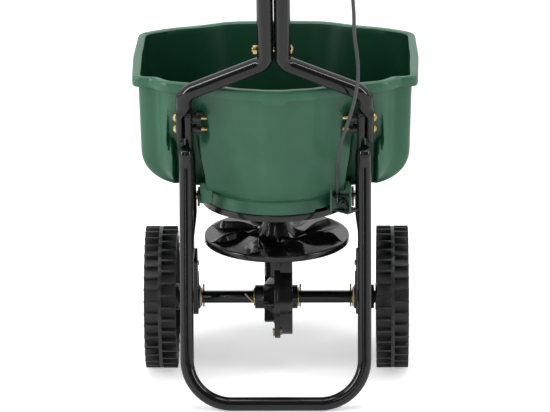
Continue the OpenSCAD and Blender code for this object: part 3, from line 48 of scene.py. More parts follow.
# Camera, in metres, with +Z up and +Y the way the spreader travels: it looks along +Y, slightly from above
AIM = Vector((-0.0023, 0.0, 0.238))
DISTANCE = 6.0
TURN = radians(0.8)
RISE = radians(18.2)
ROLL = radians(0.35)
HALF_VIEW = 0.3908

camera_data = bpy.data.cameras.new("camera")
camera = bpy.data.objects.new("camera", camera_data)
scene.collection.objects.link(camera)
camera.location = AIM + DISTANCE * Vector((sin(TURN) * cos(RISE), -cos(TURN) * cos(RISE), sin(RISE)))
camera.rotation_euler = (
    Matrix.Rotation(TURN, 4, "Z") @ Matrix.Rotation(pi / 2 - RISE, 4, "X") @ Matrix.Rotation(-ROLL, 4, "Z")
).to_euler()
camera_data.sensor_width = 36
camera_data.angle = 2 * atan(HALF_VIEW / DISTANCE)
camera_data.clip_end = 60
scene.camera = camera


# Materials
class Term:
    """A socket that adds a Math node when it is used in an expression."""

    def __init__(self, finish, socket):
        self.finish = finish
        self.socket = socket

    def maths(self, name, *others):
        return self.finish.node("ShaderNodeMath", {"operation": name}, [self, *others])

    def __add__(self, other):
        return self.maths("ADD", other)

    def __sub__(self, other):
        return self.maths("SUBTRACT", other)

    def __rsub__(self, other):
        return self.finish.node("ShaderNodeMath", {"operation": "SUBTRACT"}, [other, self])

    def __mul__(self, other):
        return self.maths("MULTIPLY", other)

    def __truediv__(self, other):
        return self.maths("DIVIDE", other)

    def __pow__(self, other):
        return self.maths("POWER", other)

    __radd__ = __add__
    __rmul__ = __mul__

    def clamp(self):
        return self.maths("MAXIMUM", 0.0).maths("MINIMUM", 1.0)


class Finish:
    """A node material under construction, with its own name, base shader and Object coordinates."""

    def __init__(self, name, **constants):
        self.material = bpy.data.materials.new(name)
        self.material.use_nodes = True
        self.tree = self.material.node_tree
        self.tree.nodes.clear()
        self.shader = self.tree.nodes.new("ShaderNodeBsdfPrincipled")
        output = self.tree.nodes.new("ShaderNodeOutputMaterial")
        self.tree.links.new(self.shader.outputs[0], output.inputs[0])
        for socket, value in constants.items():
            self.shader.inputs[socket.replace("_", " ")].default_value = value
        self.place = self.node("ShaderNodeTexCoord", {}, {}, "Object")

    def node(self, kind, settings, sockets, out=0):
        made = self.tree.nodes.new(kind)
        for key, value in settings.items():
            if key == "stops":
                ramp = made.color_ramp
                while len(ramp.elements) < len(value):
                    ramp.elements.new(0.5)
                for element, (at, colour) in zip(ramp.elements, value):
                    element.position = at
                    element.color = (*colour, 1) if isinstance(colour, tuple) else (colour, colour, colour, 1)
            else:
                setattr(made, key, value)
        pairs = enumerate(sockets) if isinstance(sockets, list) else sockets.items()
        for key, value in pairs:
            if isinstance(value, Term):
                self.tree.links.new(value.socket, made.inputs[key])
            else:
                made.inputs[key].default_value = value
        return Term(self, made.outputs[out])

    def feed(self, **links):
        for socket, term in links.items():
            self.tree.links.new(term.socket, self.shader.inputs[socket.replace("_", " ")])
        return self

    def noise(self, scale, detail=3.0, rough=0.5, at=None):
        return self.node("ShaderNodeTexNoise", {}, {
            "Vector": at or self.place, "Scale": scale, "Detail": detail, "Roughness": rough})

    def stretched(self, factors):
        return self.node("ShaderNodeMapping", {}, {"Vector": self.place, "Scale": factors})

    def mix(self, share, first, second):
        made = self.tree.nodes.new("ShaderNodeMix")
        made.data_type = "RGBA"
        for index, value in ((0, share), (6, first), (7, second)):
            if isinstance(value, Term):
                self.tree.links.new(value.socket, made.inputs[index])
            else:
                made.inputs[index].default_value = (*value, 1) if isinstance(value, tuple) else value
        return Term(self, made.outputs[2])

    def ramp(self, value, *stops):
        return self.node("ShaderNodeValToRGB", {"stops": stops}, [value])

    def bump(self, height, strength, distance):
        return self.node("ShaderNodeBump", {}, {"Height": height, "Strength": strength, "Distance": distance})


def linear(r, g, b):
    """A colour as written in 0 to 255, as the linear values that a shader takes."""
    return tuple((v / 255 / 12.92) if v <= 10 else ((v / 255 + 0.055) / 1.055) ** 2.4 for v in (r, g, b))


def moulded(name, dark, light, rough, grain, depth, wear=0.0, shine=0.5):
    """Moulded plastic: faint flow marks in its colour, a fine grain and scuffs that change the gloss."""
    made = Finish(name, Specular_IOR_Level=shine)
    flow = made.noise(7.0, 4.0, 0.6)
    fine = made.noise(grain, 2.0, 0.6)
    scuff = made.ramp(made.noise(55.0, 6.0, 0.75, made.stretched((1.0, 1.0, 0.35))), (0.52, 0.0), (0.75, 1.0))
    shade = made.mix(made.ramp(flow, (0.35, 0.0), (0.7, 1.0)), dark, light)
    made.feed(
        Base_Color=made.mix(scuff * wear, shade, tuple(min(1.0, c * 2.2 + 0.02) for c in light)),
        Roughness=(flow - 0.5) * 0.10 + scuff * 0.12 + rough,
        Normal=made.bump(fine, depth, 0.0004),
    )
    return made.material


def painted(name, colour, rough):
    """Gloss powder coat on tube: a soft orange peel, dust and small scratches."""
    made = Finish(name, Specular_IOR_Level=0.42)
    peel = made.noise(420.0, 2.0, 0.5)
    cloud = made.noise(9.0, 5.0, 0.65)
    scratch = made.ramp(made.noise(260.0, 5.0, 0.8, made.stretched((1.0, 1.0, 0.12))), (0.66, 0.0), (0.72, 1.0))
    made.feed(
        Base_Color=made.mix(
            scratch * 0.06, made.mix(cloud, colour, tuple(c * 1.6 for c in colour)), (0.08, 0.08, 0.08)
        ),
        Roughness=(cloud - 0.5) * 0.08 + scratch * 0.12 + rough,
        Normal=made.bump(peel, 0.10, 0.0003),
    )
    return made.material


def plated(name, dark, light, rough):
    """Yellow zinc or bare steel: clouded plating with fine drawn lines."""
    made = Finish(name, Metallic=1.0)
    cloud = made.noise(60.0, 4.0, 0.6)
    lines = made.noise(900.0, 2.0, 0.5, made.stretched((0.2, 1.0, 1.0)))
    made.feed(
        Base_Color=made.mix(made.ramp(cloud, (0.35, 0.0), (0.68, 1.0)), dark, light),
        Roughness=(cloud - 0.5) * 0.25 + (lines - 0.5) * 0.12 + rough,
        Normal=made.bump(lines, 0.12, 0.0002),
    )
    return made.material


green = moulded("hopper_green_plastic", linear(30, 82, 57), linear(40, 95, 68), 0.34, 900.0, 0.06, 0.03)
# The same green plastic made darker for the tub's inside walls and floor: painted shade standing in for the shade
# inside the hopper
green_painted_shade = moulded("hopper_green_with_painted_shade", linear(8, 42, 26), linear(13, 52, 34), 0.36, 900.0, 0.03, 0.0, 0.12)
black_satin = moulded("satin_black_plastic", linear(20, 20, 21), linear(27, 27, 28), 0.42, 1100.0, 0.22, 0.05)
black_gloss = moulded("gloss_black_plastic", linear(14, 14, 15), linear(20, 20, 21), 0.20, 700.0, 0.05, 0.02)
dark_plastic = moulded("dark_console_plastic", linear(34, 34, 35), linear(42, 42, 43), 0.46, 1000.0, 0.35, 0.05)
rubber = moulded("grip_rubber", linear(22, 22, 22), linear(30, 30, 30), 0.62, 1400.0, 0.45, 0.05)
jacket = moulded("cable_jacket", linear(50, 50, 52), linear(60, 60, 62), 0.40, 1500.0, 0.15, 0.04)
nylon = moulded("natural_nylon", linear(205, 200, 186), linear(216, 212, 200), 0.45, 800.0, 0.12, 0.02)
tube_paint = painted("black_tube_paint", linear(11, 11, 12), 0.13)
zinc = plated("yellow_zinc_plate", linear(170, 138, 74), linear(226, 205, 150), 0.30)
steel = plated("bare_steel", linear(120, 121, 123), linear(176, 177, 179), 0.32)
bronze = plated("sintered_bronze", linear(120, 84, 46), linear(170, 126, 72), 0.45)

FINISHES = {
    green: ["hopper", "lever_knob"],
    black_gloss: ["impeller", "gearbox_left_shell", "gearbox_right_shell", "base_plate"],
    black_satin: ["drive_wheel", "free_wheel", "left_axle_bracket", "right_axle_bracket", "side_knobs", "agitator",
                  "leg_caps", "cable_ferrules", "rate_dial", "shutoff_plate", "shutoff_crank",
                  "crank_pin"],
    dark_plastic: ["console_body", "console_back"],
    tube_paint: ["left_leg", "right_leg", "stand_tube", "left_lower_handle", "right_lower_handle", "axle",
                 "left_upper_handle", "right_upper_handle", "hopper_brackets", "console_clamp"],
    zinc: ["base_screws", "impeller_pin", "gearbox_screws", "axle_washers", "axle_clips",
           "wheel_drive_pin", "bracket_rivets", "hopper_bolts", "hopper_nuts", "bracket_screws", "side_bolts",
           "handle_bolts", "handle_nuts", "console_screws"],
    steel: ["impeller_shaft", "gear_pin", "control_lever", "lever_pin", "cable_wire"],
    bronze: ["plate_bush", "column_bush"],
    nylon: ["pinion", "drive_gear", "gearbox_bushes", "axle_bushes"],
    rubber: ["left_grip", "right_grip"],
    jacket: ["control_cable"],
}
for finish, names in FINISHES.items():
    for name in names:
        nodes[name].data.materials.clear()
        nodes[name].data.materials.append(finish)

# Forms, in millimetres, from the same sizes as the part's source
MM = 0.001
AXLE_Z = 101.6
TILT = radians(23.7)
TUBE_R, HANDLE_R = 9.525, 11.3
LEG_X, OVAL_W, LEG_FLAT = 120.5, 22.22, 13.5
BOLT_LOW, BOLT_GAP = 318.0, 20.0
SEAT_GAP = 0.3


def rake(x, y, s):
    """Points given in the frame of the legs and the handle, as rows of [x, y, z]."""
    x, y, s = np.broadcast_arrays(*(np.asarray(v, float) for v in (x, y, s)))
    return np.stack([x, y * cos(TILT) - s * sin(TILT), AXLE_Z + y * sin(TILT) + s * cos(TILT)], -1)


def soft_step(t):
    c = np.clip(t, 0, 1)
    return c * c * (3 - 2 * c)


def soft_max(a, b, reach):
    """The larger of a and b, rounded where they are nearly the same."""
    near = np.maximum(reach - np.abs(a - b), 0) / reach
    return np.maximum(a, b) + near * near * reach / 4


def lattice(rings, loop=False):
    """Points and faces of the surface through rings of points; its ends are closed, or join each other."""
    rings = np.asarray(rings, float)
    rows, count = rings.shape[:2]
    here = np.arange(count)
    after = (here + 1) % count
    faces = []
    for k in range(rows if loop else rows - 1):
        low, high = k * count, (k + 1) % rows * count
        faces += np.stack([low + here, low + after, high + after, high + here], 1).tolist()
    if not loop:
        faces += [list(range(count)), [(rows - 1) * count + k for k in range(count)]]
    return rings.reshape(-1, 3), faces


def joined(*parts):
    """Several lots of points and faces as one."""
    points, faces, start = [], [], 0
    for some, sides in parts:
        points.append(np.asarray(some, float))
        faces += [[start + k for k in side] for side in sides]
        start += len(some)
    return np.concatenate(points), faces


def finished(piece, body, slot, *stands_for):
    """Says what a new piece rides on and stands for. The slot argument is not used."""
    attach(piece, body)
    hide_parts(*stands_for)
    return piece


def mesh_object(name, mesh, materials, sharp):
    """An object of this mesh with smooth faces, sharp only where faces meet at more than the angle given."""
    for material in materials:
        mesh.materials.append(material)
    mesh.polygons.foreach_set("use_smooth", [True] * len(mesh.polygons))
    mesh.set_sharp_from_angle(angle=radians(sharp))
    piece = bpy.data.objects.new(name, mesh)
    scene.collection.objects.link(piece)
    return piece


def form(name, shape, material, sharp=38, inner=None):
    """A piece from points in millimetres and faces. inner gives the faces that take a second material."""
    points, faces = shape
    mesh = bpy.data.meshes.new(name)
    mesh.from_pydata((points * MM).tolist(), [], faces)
    work = bmesh.new()
    work.from_mesh(mesh)
    bmesh.ops.recalc_face_normals(work, faces=work.faces)
    work.to_mesh(mesh)
    work.free()
    materials = [material]
    if inner:
        chosen, second = inner
        materials.append(second)
        mesh.polygons.foreach_set("material_index", np.asarray(chosen, int).tolist())
    return mesh_object(name, mesh, materials, sharp)


def stadium(width, thick, count=40):
    """Section of a tube pressed flat: offsets across its flats and along them."""
    turn = 2 * pi * (np.arange(count) + 0.5) / count
    return thick / 2 * np.cos(turn), thick / 2 * np.sin(turn) + np.sign(np.sin(turn)) * (width - thick) / 2


def bent(corners, radii, step=radians(5)):
    """Stations [x, s, heading] along a line with rounded corners."""
    corners = [np.array(c, float) for c in corners]
    heading = [atan2(*(b - a)[::-1]) for a, b in zip(corners, corners[1:])]
    line = [(*corners[0], heading[0])]
    for corner, radius, a, b in zip(corners[1:], radii, heading, heading[1:]):
        turn = (b - a + pi) % (2 * pi) - pi
        side = 1 if turn > 0 else -1
        back = radius * tan(abs(turn) / 2)
        middle = corner - back * np.array([cos(a), sin(a)]) + radius * side * np.array([-sin(a), cos(a)])
        steps = max(2, ceil(abs(turn) / step))
        for k in range(steps + 1):
            now = a + turn * k / steps
            line.append((*(middle + radius * side * np.array([sin(now), -cos(now)])), now))
    return line + [(*corners[-1], heading[-1])]


def tube_ring(place, x, s, heading, width, thick):
    """A ring round a tube's middle line, which lies in the plane of x and s."""
    across, along = stadium(width, thick)
    return place(x + across * sin(heading), along, s - across * cos(heading))


def eased(low, high, first, last, steps=12):
    """Values that pass smoothly from first at low to last at high, as rows [place, values]."""
    first, last = np.array(first, float), np.array(last, float)
    return [(low + (high - low) * k / steps, *(first + (last - first) * soft_step(k / steps))) for k in range(steps + 1)]


def mirrored(shape):
    points, faces = shape
    return points * [-1, 1, 1], faces

# Control cable: one cord from the console's ferrule to its holder in the guide, with the knots of the part's source
CABLE_R = 2.5
cable_knots = np.array([
    rake(14, -65.4, 907), rake(14, -65.4, 895),
    [20, -411, 868.1], [40, -394, 815.1], [67, -364, 755.1], [92, -325, 690.1], [104, -292, 640.1],
    [108, -268, 600.1], [109, -249, 561.1], [113, -234, 525.1], [114, -220, 492.1], [111, -208, 466.1],
    [105.5, -196, 438.1], [98.5, -182, 411.1], [92, -169, 387.1], [88, -158, 365.1], [86, -147, 347.1],
    [85.5, -135, 334.1], [85.5, -124, 321.1], [86, -117, 310.1], [86, -111, 301.6], [86, -104, 295.1],
    [86, -97.5, 290.6], [86, -93, 288.1], [86, -92, 285.1], [86, -92, 282.5],
])


def through_knots(knots, steps=6):
    """Points of a smooth line through the knots."""
    padded = np.concatenate([[2 * knots[0] - knots[1]], knots, [2 * knots[-1] - knots[-2]]])
    line = []
    for a, b, c, d in zip(padded, padded[1:], padded[2:], padded[3:]):
        for t in np.arange(steps) / steps:
            line.append(0.5 * (
                2 * b + (c - a) * t + (2 * a - 5 * b + 4 * c - d) * t**2 + (3 * b - a - 3 * c + d) * t**3
            ))
    return np.array(line + [knots[-1]])


def round_rod(line, radius, count=16):
    """A round rod along a line of points."""
    ahead = np.gradient(line, axis=0)
    across = np.cross(ahead, [0, 1, 0.3])
    across /= np.linalg.norm(across, axis=1)[:, None]
    up = np.cross(across, ahead)
    up /= np.linalg.norm(up, axis=1)[:, None]
    turn = 2 * pi * np.arange(count) / count
    radius = np.broadcast_to(radius, len(line))
    return lattice([
        point + r * (np.outer(np.cos(turn), a) + np.outer(np.sin(turn), b))
        for point, r, a, b in zip(line, radius, across, up)
    ])


cable_line = through_knots(cable_knots)
cable = finished(form("control_cable_jacket", round_rod(cable_line, CABLE_R), jacket), "frame", "cable_jacket",
                 "control_cable")

# Legs: flat at the foot, round, then oval where the handle is bolted on
FLAT_W, FLAT_T = 24.79, 9.0


def upright_rings(place, stations):
    return [tube_ring(place, x, s, pi / 2, width, thick) for x, s, width, thick in stations]


ROUND = (LEG_X, 2 * TUBE_R, 2 * TUBE_R)
leg = lattice(upright_rings(rake, [
    (x, s, width, thick) for s, x, width, thick in
    [(50, LEG_X, FLAT_W - 1, FLAT_T - 1), (50.5, LEG_X, FLAT_W, FLAT_T), (110, LEG_X, FLAT_W, FLAT_T)]
    + eased(112, 170, (LEG_X, FLAT_W, FLAT_T), ROUND)
    + eased(262, 292, ROUND, (LEG_X, OVAL_W, LEG_FLAT))
    + [(347.5, LEG_X, OVAL_W, LEG_FLAT), (348, LEG_X, OVAL_W - 1, LEG_FLAT - 1)]
]))
# Lower handles: pressed flat at the side bolts, then round along the arm, both bends and the upright run
HANDLE_FLAT_W, HANDLE_FLAT_T = 30.02, 8.5
OUT_X, ROUND_X, HANDLE_X, JOINT = 131.65, 125.2, 11.6, 700.0
arm_line = bent([(ROUND_X, 362), (ROUND_X, 380.5), (HANDLE_X, 436.5), (HANDLE_X, JOINT)], [25, 18])


def crease(x, s, heading):
    """How much the tube is drawn in at its bends, in millimetres."""
    return 0.9 * sin(min(1.0, abs(heading - pi / 2) / 0.5) * pi)


lower_handle = lattice(upright_rings(rake, [
    (x, s, width, thick) for s, x, width, thick in
    [(305, OUT_X, HANDLE_FLAT_W - 1, HANDLE_FLAT_T - 1), (305.5, OUT_X, HANDLE_FLAT_W, HANDLE_FLAT_T),
     (344, OUT_X, HANDLE_FLAT_W, HANDLE_FLAT_T)]
    + eased(345, 361, (OUT_X, HANDLE_FLAT_W, HANDLE_FLAT_T), (ROUND_X, 2 * HANDLE_R, 2 * HANDLE_R))
]) + [tube_ring(rake, x, s, heading, 2 * HANDLE_R, 2 * HANDLE_R) for x, s, heading in arm_line])
# Upper handles: up to the cross bar, then outwards into the grips
upper_line = bent([(HANDLE_X, JOINT + 1.4), (HANDLE_X, 1075), (182, 1075)], [40])
upper_handle = joined(
    lattice([tube_ring(rake, x, s, heading, 2 * HANDLE_R, 2 * HANDLE_R) for x, s, heading in upper_line]),
    lattice(upright_rings(rake, [
        (HANDLE_X, JOINT + up, 2 * HANDLE_R + grow, 2 * HANDLE_R + grow)
        for up, grow in ((0.1, -1.0), (0.2, 0.0), (1.2, 0.0), (1.5, -1.0))
    ])),
)
for side, turn in (("left", mirrored), ("right", lambda shape: shape)):
    for part, shape in (("leg", leg), ("lower_handle", lower_handle), ("upper_handle", upper_handle)):
        finished(form(f"{side}_{part}_tube", turn(shape), tube_paint), "frame", "black_paint", f"{side}_{part}")

# Stand: one U of tube whose tops turn along the backs of the legs and are drawn in to a nose
STAND_X, STAND_BACK, STAND_TOP, NOSE, NECK, NOSE_R = 123.7, 189.0, 298.0, 11.0, 22.0, 5.0
WELD_Y = -OVAL_W / 2 - SEAT_GAP
neck_at = rake(0, WELD_Y - TUBE_R, STAND_TOP - NOSE - NECK)
stand_rise = np.array([neck_at[1] + STAND_BACK, neck_at[2] - TUBE_R])
STAND_LEN = float(np.hypot(*stand_rise))
STAND_LEAN = atan2(*stand_rise)


def stand_place(x, y, z):
    x, y, z = np.broadcast_arrays(x, y, z)
    return np.stack([
        x, y * cos(STAND_LEAN) + z * sin(STAND_LEAN) - STAND_BACK,
        z * cos(STAND_LEAN) - y * sin(STAND_LEAN) + TUBE_R,
    ], -1)


stand_line = bent([(-STAND_X, STAND_LEN), (-STAND_X, 0), (STAND_X, 0), (STAND_X, STAND_LEN)], [62, 62])
stand_rings = [tube_ring(stand_place, x, z, heading, 2 * TUBE_R, 2 * TUBE_R) for x, z, heading in stand_line]


def nose_rings(side):
    """Rings from the top of the stand's upright into its rounded nose, on one side."""
    across, along = stadium(2, 2)
    rings = []
    for t in np.linspace(0, 1, 11):
        r = NOSE_R + (TUBE_R - NOSE_R) * np.sqrt(max(0, 1 - t * t))
        rings.append(rake(side * STAND_X + side * r * across, WELD_Y - r - r * along * side, STAND_TOP - NOSE * (1 - t)))
    return rings


def matched(ring, other):
    """The ring turned so that its points lie opposite those of the other, going the same way round."""
    best = min(
        (float(np.abs(np.roll(way, shift, 0) - other).sum()), shift, k)
        for k, way in enumerate((ring, ring[::-1])) for shift in range(len(ring))
    )
    return np.roll((ring, ring[::-1])[best[2]], best[1], 0)


for end, side in ((0, -1), (-1, 1)):
    rings, last = [], stand_rings[end]
    for ring in nose_rings(side):
        last = matched(ring, last)
        rings.append(last)
    stand_rings = rings[::-1] + stand_rings if end == 0 else stand_rings + rings
finished(form("stand_tube_bent", lattice(stand_rings), tube_paint), "frame", "black_paint", "stand_tube")

# Hopper: one skin that runs up the outside, over the rim, down the inside, and over and under the floor
RIM_Z, KNEE_Z, UNDER_Z, THROAT_TOP, SEAT_Z = 459.0, 350.0, 288.0, 277.0, 258.0
THROAT_R, WALL, LIP_W, LIP_H, SKIRT_T = 105.0, 3.0, 9.0, 14.0, 2.5
UNDER_R = THROAT_R + 8
FLOOR_LOW, FLOOR_TOP, FLOOR_HOLE = 262.0, 265.0, 7.25
PORT_IN, PORT_OUT, PORT_ARC = 45.0, 80.0, radians(7.4)
RIM_CORNERS = [
    (0, -174), (18, -174), (24, -171), (54, -166), (72, -157), (92, -146.5), (120, -137), (139, -131), (152, -127),
    (163, -117), (172, -104), (189, -103), (198, -97), (201, 12), (198, 119), (191, 128), (173, 140), (151, 152),
    (128, 159), (104, 168), (80, 181), (60, 186), (0, 189),
]


def softened_outline(corners, most=13.0, steps=5):
    """The outline with each corner rounded over up to a fixed distance."""
    corners = np.array(corners, float)
    outline = [corners[0]]
    for before, corner, after in zip(corners, corners[1:], corners[2:]):
        back, on = before - corner, after - corner
        start = corner + back * min(0.48, most / np.hypot(*back))
        end = corner + on * min(0.48, most / np.hypot(*on))
        outline += [outline[-1] + (start - outline[-1]) * t for t in np.linspace(0, 1, 25)[1:-1]]
        for t in np.linspace(0, 1, steps + 1):
            outline.append((1 - t) ** 2 * start + 2 * t * (1 - t) * corner + t * t * end)
    outline += [outline[-1] + (corners[-1] - outline[-1]) * t for t in np.linspace(0, 1, 25)[1:]]
    return np.array(outline)


outline = softened_outline(RIM_CORNERS)
# Directions round the hopper, from the middle of the back, closer together near the recesses for the legs
half_turn = np.concatenate([np.radians(np.arange(0, 28, 1.0)), np.radians(np.arange(28, 66, 0.25)),
                            np.radians(np.arange(66, 180.1, 1.5))])
port_edges = np.array([radians(60 + 120 * k + side * 3.7) for k in range(3) for side in (-1, 1)])
# Direction a stands for the point [sin a, -cos a], so an angle b from +X is a = b + 90 degrees
spin = np.unique(np.round(np.concatenate([half_turn, -half_turn[1:-1], (port_edges + pi / 2 + pi) % (2 * pi) - pi]), 6))
east, north = np.sin(spin), -np.cos(spin)
rim_r = np.interp(np.abs(spin), np.arctan2(outline[:, 0], -outline[:, 1]), np.hypot(*outline.T))
share = soft_step((np.abs(north) - 0.55) / 0.35)
top_r = rim_r - LIP_W
knee_r = top_r - 3 - 24 * share
low_z = UNDER_Z - 6 * share
bulge = 0.97 + 0.63 * share


def section(t, inset=0.0):
    """Radius and height of the curved under part at t, from 0 at the knee to 1 at the throat, for each direction."""
    turn = t * pi / 2
    slope = turn * (1 - 0.45 * share)
    r = UNDER_R + (knee_r - UNDER_R) * cos(turn) ** bulge - inset * np.cos(slope)
    return r, KNEE_Z - (KNEE_Z - low_z) * sin(turn) ** bulge + inset * np.sin(slope)


def recess(x, s, grow):
    """How far forward of the legs' middle line the skin has to stay, at x and s in the legs' frame."""
    x = np.abs(x)
    out = 137.5 + 10 * (soft_step((s - 276) / 12) - soft_step((s - 384) / 16))
    inner = 109 - 7 * soft_step((293 - s) / 75)
    away = np.maximum(np.maximum(inner - grow - x, x - out - grow), 0)
    slot = 18 + grow - 1.6 * away - 0.8 * away**2
    # Shallow hollow that leaves room for the knobs and the bolts' ends
    past_knobs = np.maximum(np.abs(s - 328) - 21, 0)
    hollow = 12 + grow - 0.07 * np.maximum(104 - x, 0) ** 2 - 0.05 * past_knobs**2
    hollow = np.where(x < 125, hollow, -90.0)
    return soft_max(slot, hollow, 6.0)


def level(r, z):
    """A plain ring of this radius and height, one point for each direction."""
    return np.stack(np.broadcast_arrays(r * east, r * north, z), -1)


def skin(r, z, grow):
    """A ring of the skin at this radius and height, drawn in where a leg or its knobs pass."""
    x, y, z = np.broadcast_arrays(r * east, r * north, z)
    s = -y * sin(TILT) + (z - AXLE_Z) * cos(TILT)
    forward = y * cos(TILT) + (z - AXLE_Z) * sin(TILT)
    limit = recess(x, s, grow)
    held = soft_max(forward, limit, 5.0)
    held = np.where((y < 0) & (r > THROAT_R + 1), held, forward)
    return rake(x, held, s)


flat = np.ones_like(spin)
behind = north < 0
tongue = np.where(behind, 6 * soft_step((17.5 - np.abs(rim_r * east)) / 3.5), 0)
# Window in the throat for the shut-off plate's ear
throat_low = np.where(np.abs(spin - radians(45)) < radians(13.5), FLOOR_LOW, SEAT_Z)
rings, inside = [], []


# Rings marked dark take the darker green, painted shade on the inside walls and floor
def add(ring, dark=False):
    rings.append(ring)
    inside.append(dark)


for r, z in ((THROAT_R - 0.6, throat_low), (THROAT_R, throat_low + 0.6), (THROAT_R, THROAT_TOP - 2.5),
             (THROAT_R + 0.6, THROAT_TOP - 0.6), (THROAT_R + 2.4, THROAT_TOP + 1)):
    add(skin(r * flat, z, 0))
for t in 1 - np.linspace(0, 1, 25):
    add(skin(*section(t), 0))
for t in np.linspace(0, 1, 17)[1:]:
    add(skin(knee_r + (top_r - knee_r) * t, KNEE_Z + (RIM_Z - 5.5 - KNEE_Z) * t, 0))
skirt_low = RIM_Z - LIP_H - tongue
for inset, z in (
    (LIP_W - 1.2, RIM_Z - 4.2), (SKIRT_T + 1, RIM_Z - 4), (SKIRT_T, RIM_Z - 5), (SKIRT_T, skirt_low + 0.6),
    (SKIRT_T - 0.6, skirt_low), (0.7, skirt_low), (0.1, skirt_low + 0.8), (0, RIM_Z - LIP_H + 5), (0, RIM_Z - 4),
    (0.3, RIM_Z - 2.2), (1.1, RIM_Z - 0.8), (2.4, RIM_Z), (LIP_W + WALL - 1.6, RIM_Z),
):
    add(level(rim_r - inset, z))
for t in np.linspace(0, 1, 17)[:-1]:
    add(skin(top_r - WALL + (knee_r - top_r) * t, RIM_Z - 1.4 - (RIM_Z - 1.4 - KNEE_Z) * t, WALL), True)
for t in np.linspace(0, 1, 25):
    add(skin(*section(t, WALL), WALL), True)
add(skin((THROAT_R - WALL + 0.4) * flat, THROAT_TOP + 3, WALL), True)
floor_profile = (
    (THROAT_R - WALL, THROAT_TOP), (THROAT_R - WALL, FLOOR_TOP + 1), (THROAT_R - WALL - 1, FLOOR_TOP),
    (PORT_OUT, FLOOR_TOP), (PORT_IN, FLOOR_TOP), (FLOOR_HOLE, FLOOR_TOP), (FLOOR_HOLE, FLOOR_LOW),
    (PORT_IN, FLOOR_LOW), (PORT_OUT, FLOOR_LOW), (THROAT_R - WALL, FLOOR_LOW - 0.05),
)
top_out = len(rings) + 3
top_in, low_in, low_out = top_out + 1, top_out + 4, top_out + 5
for r, z in floor_profile:
    add(level(r, z), True)
add(level(THROAT_R - WALL, throat_low - 0.1))
tub_points, tub_faces = lattice(rings, loop=True)
# Faces of the rings marked dark, which take the darker green as painted shade
painted_shade_faces = np.repeat(inside, len(spin))
# Ports: cells left out of the floor's top and underside, with walls between the two
count = len(spin)
cell_turn = spin + np.diff(np.append(spin, spin[0] + 2 * pi)) / 2 - pi / 2
open_cell = np.zeros(count, bool)
for k in range(3):
    open_cell |= np.abs((cell_turn - radians(60 + 120 * k) + pi) % (2 * pi) - pi) < PORT_ARC / 2
kept = np.ones(len(tub_faces), bool)
walls = []
for i in np.flatnonzero(open_cell):
    j = (i + 1) % count
    kept[[top_out * count + i, low_in * count + i]] = False
    for high, low in ((top_out, low_out), (top_in, low_in)):
        walls.append([high * count + i, high * count + j, low * count + j, low * count + i])
    for here, beside in ((i, i - 1), (j, j)):
        if not open_cell[beside % count]:
            walls.append([row * count + here for row in (top_out, top_in, low_in, low_out)])
tub = tub_points, [face for face, keep in zip(tub_faces, kept) if keep] + walls
painted_shade_faces = np.concatenate([painted_shade_faces[kept], np.ones(len(walls), bool)])


def rounded(shape, width, segments=2, least=28):
    """The shape with its doubled points merged and its sharp edges rounded over."""
    points, faces = shape
    work = bmesh.new()
    made = [work.verts.new(p) for p in points]
    for face in faces:
        try:
            work.faces.new([made[k] for k in face])
        except ValueError:
            pass
    bmesh.ops.remove_doubles(work, verts=work.verts, dist=0.002)
    bmesh.ops.dissolve_limit(work, angle_limit=radians(0.6), verts=work.verts, edges=work.edges)
    bmesh.ops.recalc_face_normals(work, faces=work.faces)
    edges = [e for e in work.edges if len(e.link_faces) == 2 and e.calc_face_angle(0) > radians(least)]
    bmesh.ops.bevel(work, geom=edges, offset=width, segments=segments, profile=0.5, affect="EDGES",
                    clamp_overlap=True)
    work.verts.index_update()
    result = np.array([v.co for v in work.verts]), [[v.index for v in f.verts] for f in work.faces]
    work.free()
    return result


def box_shape(x0, x1, y0, y1, z0, z1):
    corners = [(x, y, z) for z in (z0, z1) for x, y in ((x0, y0), (x1, y0), (x1, y1), (x0, y1))]
    return np.array(corners, float), [
        [0, 3, 2, 1], [4, 5, 6, 7], [0, 1, 5, 4], [1, 2, 6, 5], [2, 3, 7, 6], [3, 0, 4, 7]
    ]


def upright_prism(plan, z0, z1):
    plan = np.array(plan, float)
    return lattice([np.column_stack([plan, np.full(len(plan), z)]) for z in (z0, z1)])


guide = rounded(upright_prism([
    (76, -104), (79, -104), (79, -87), (103, -87), (103, -104), (106, -104), (106, -60), (76, -60)
], 262, 303), 0.7)
lug = rounded(box_shape(-106, -88, -90, -62, 271, 302), 1.6, 3)
inside_count = len(guide[1]) + len(lug[1])
hopper_shape = joined(tub, guide, lug)
# The tub's inside faces take the darker green as painted shade; the guide and lug keep the plain green
finished(form("hopper_moulding", hopper_shape, green, 42,
              (np.concatenate([painted_shade_faces, np.zeros(inside_count, bool)]), green_painted_shade)),
         "frame", "hopper_green", "hopper")

# Impeller: a disc with eight leaf-shaped paddles that grow out of the hub, as one surface of heights
PLATE_Z, IMPELLER_R, HUB_R, HUB_TOP = 197.0, 103.0, 14.5, 246.0
BLADES, BLADE_H = 8, 11.0
blade_turn = 2 * pi * np.arange(1040) / 1040


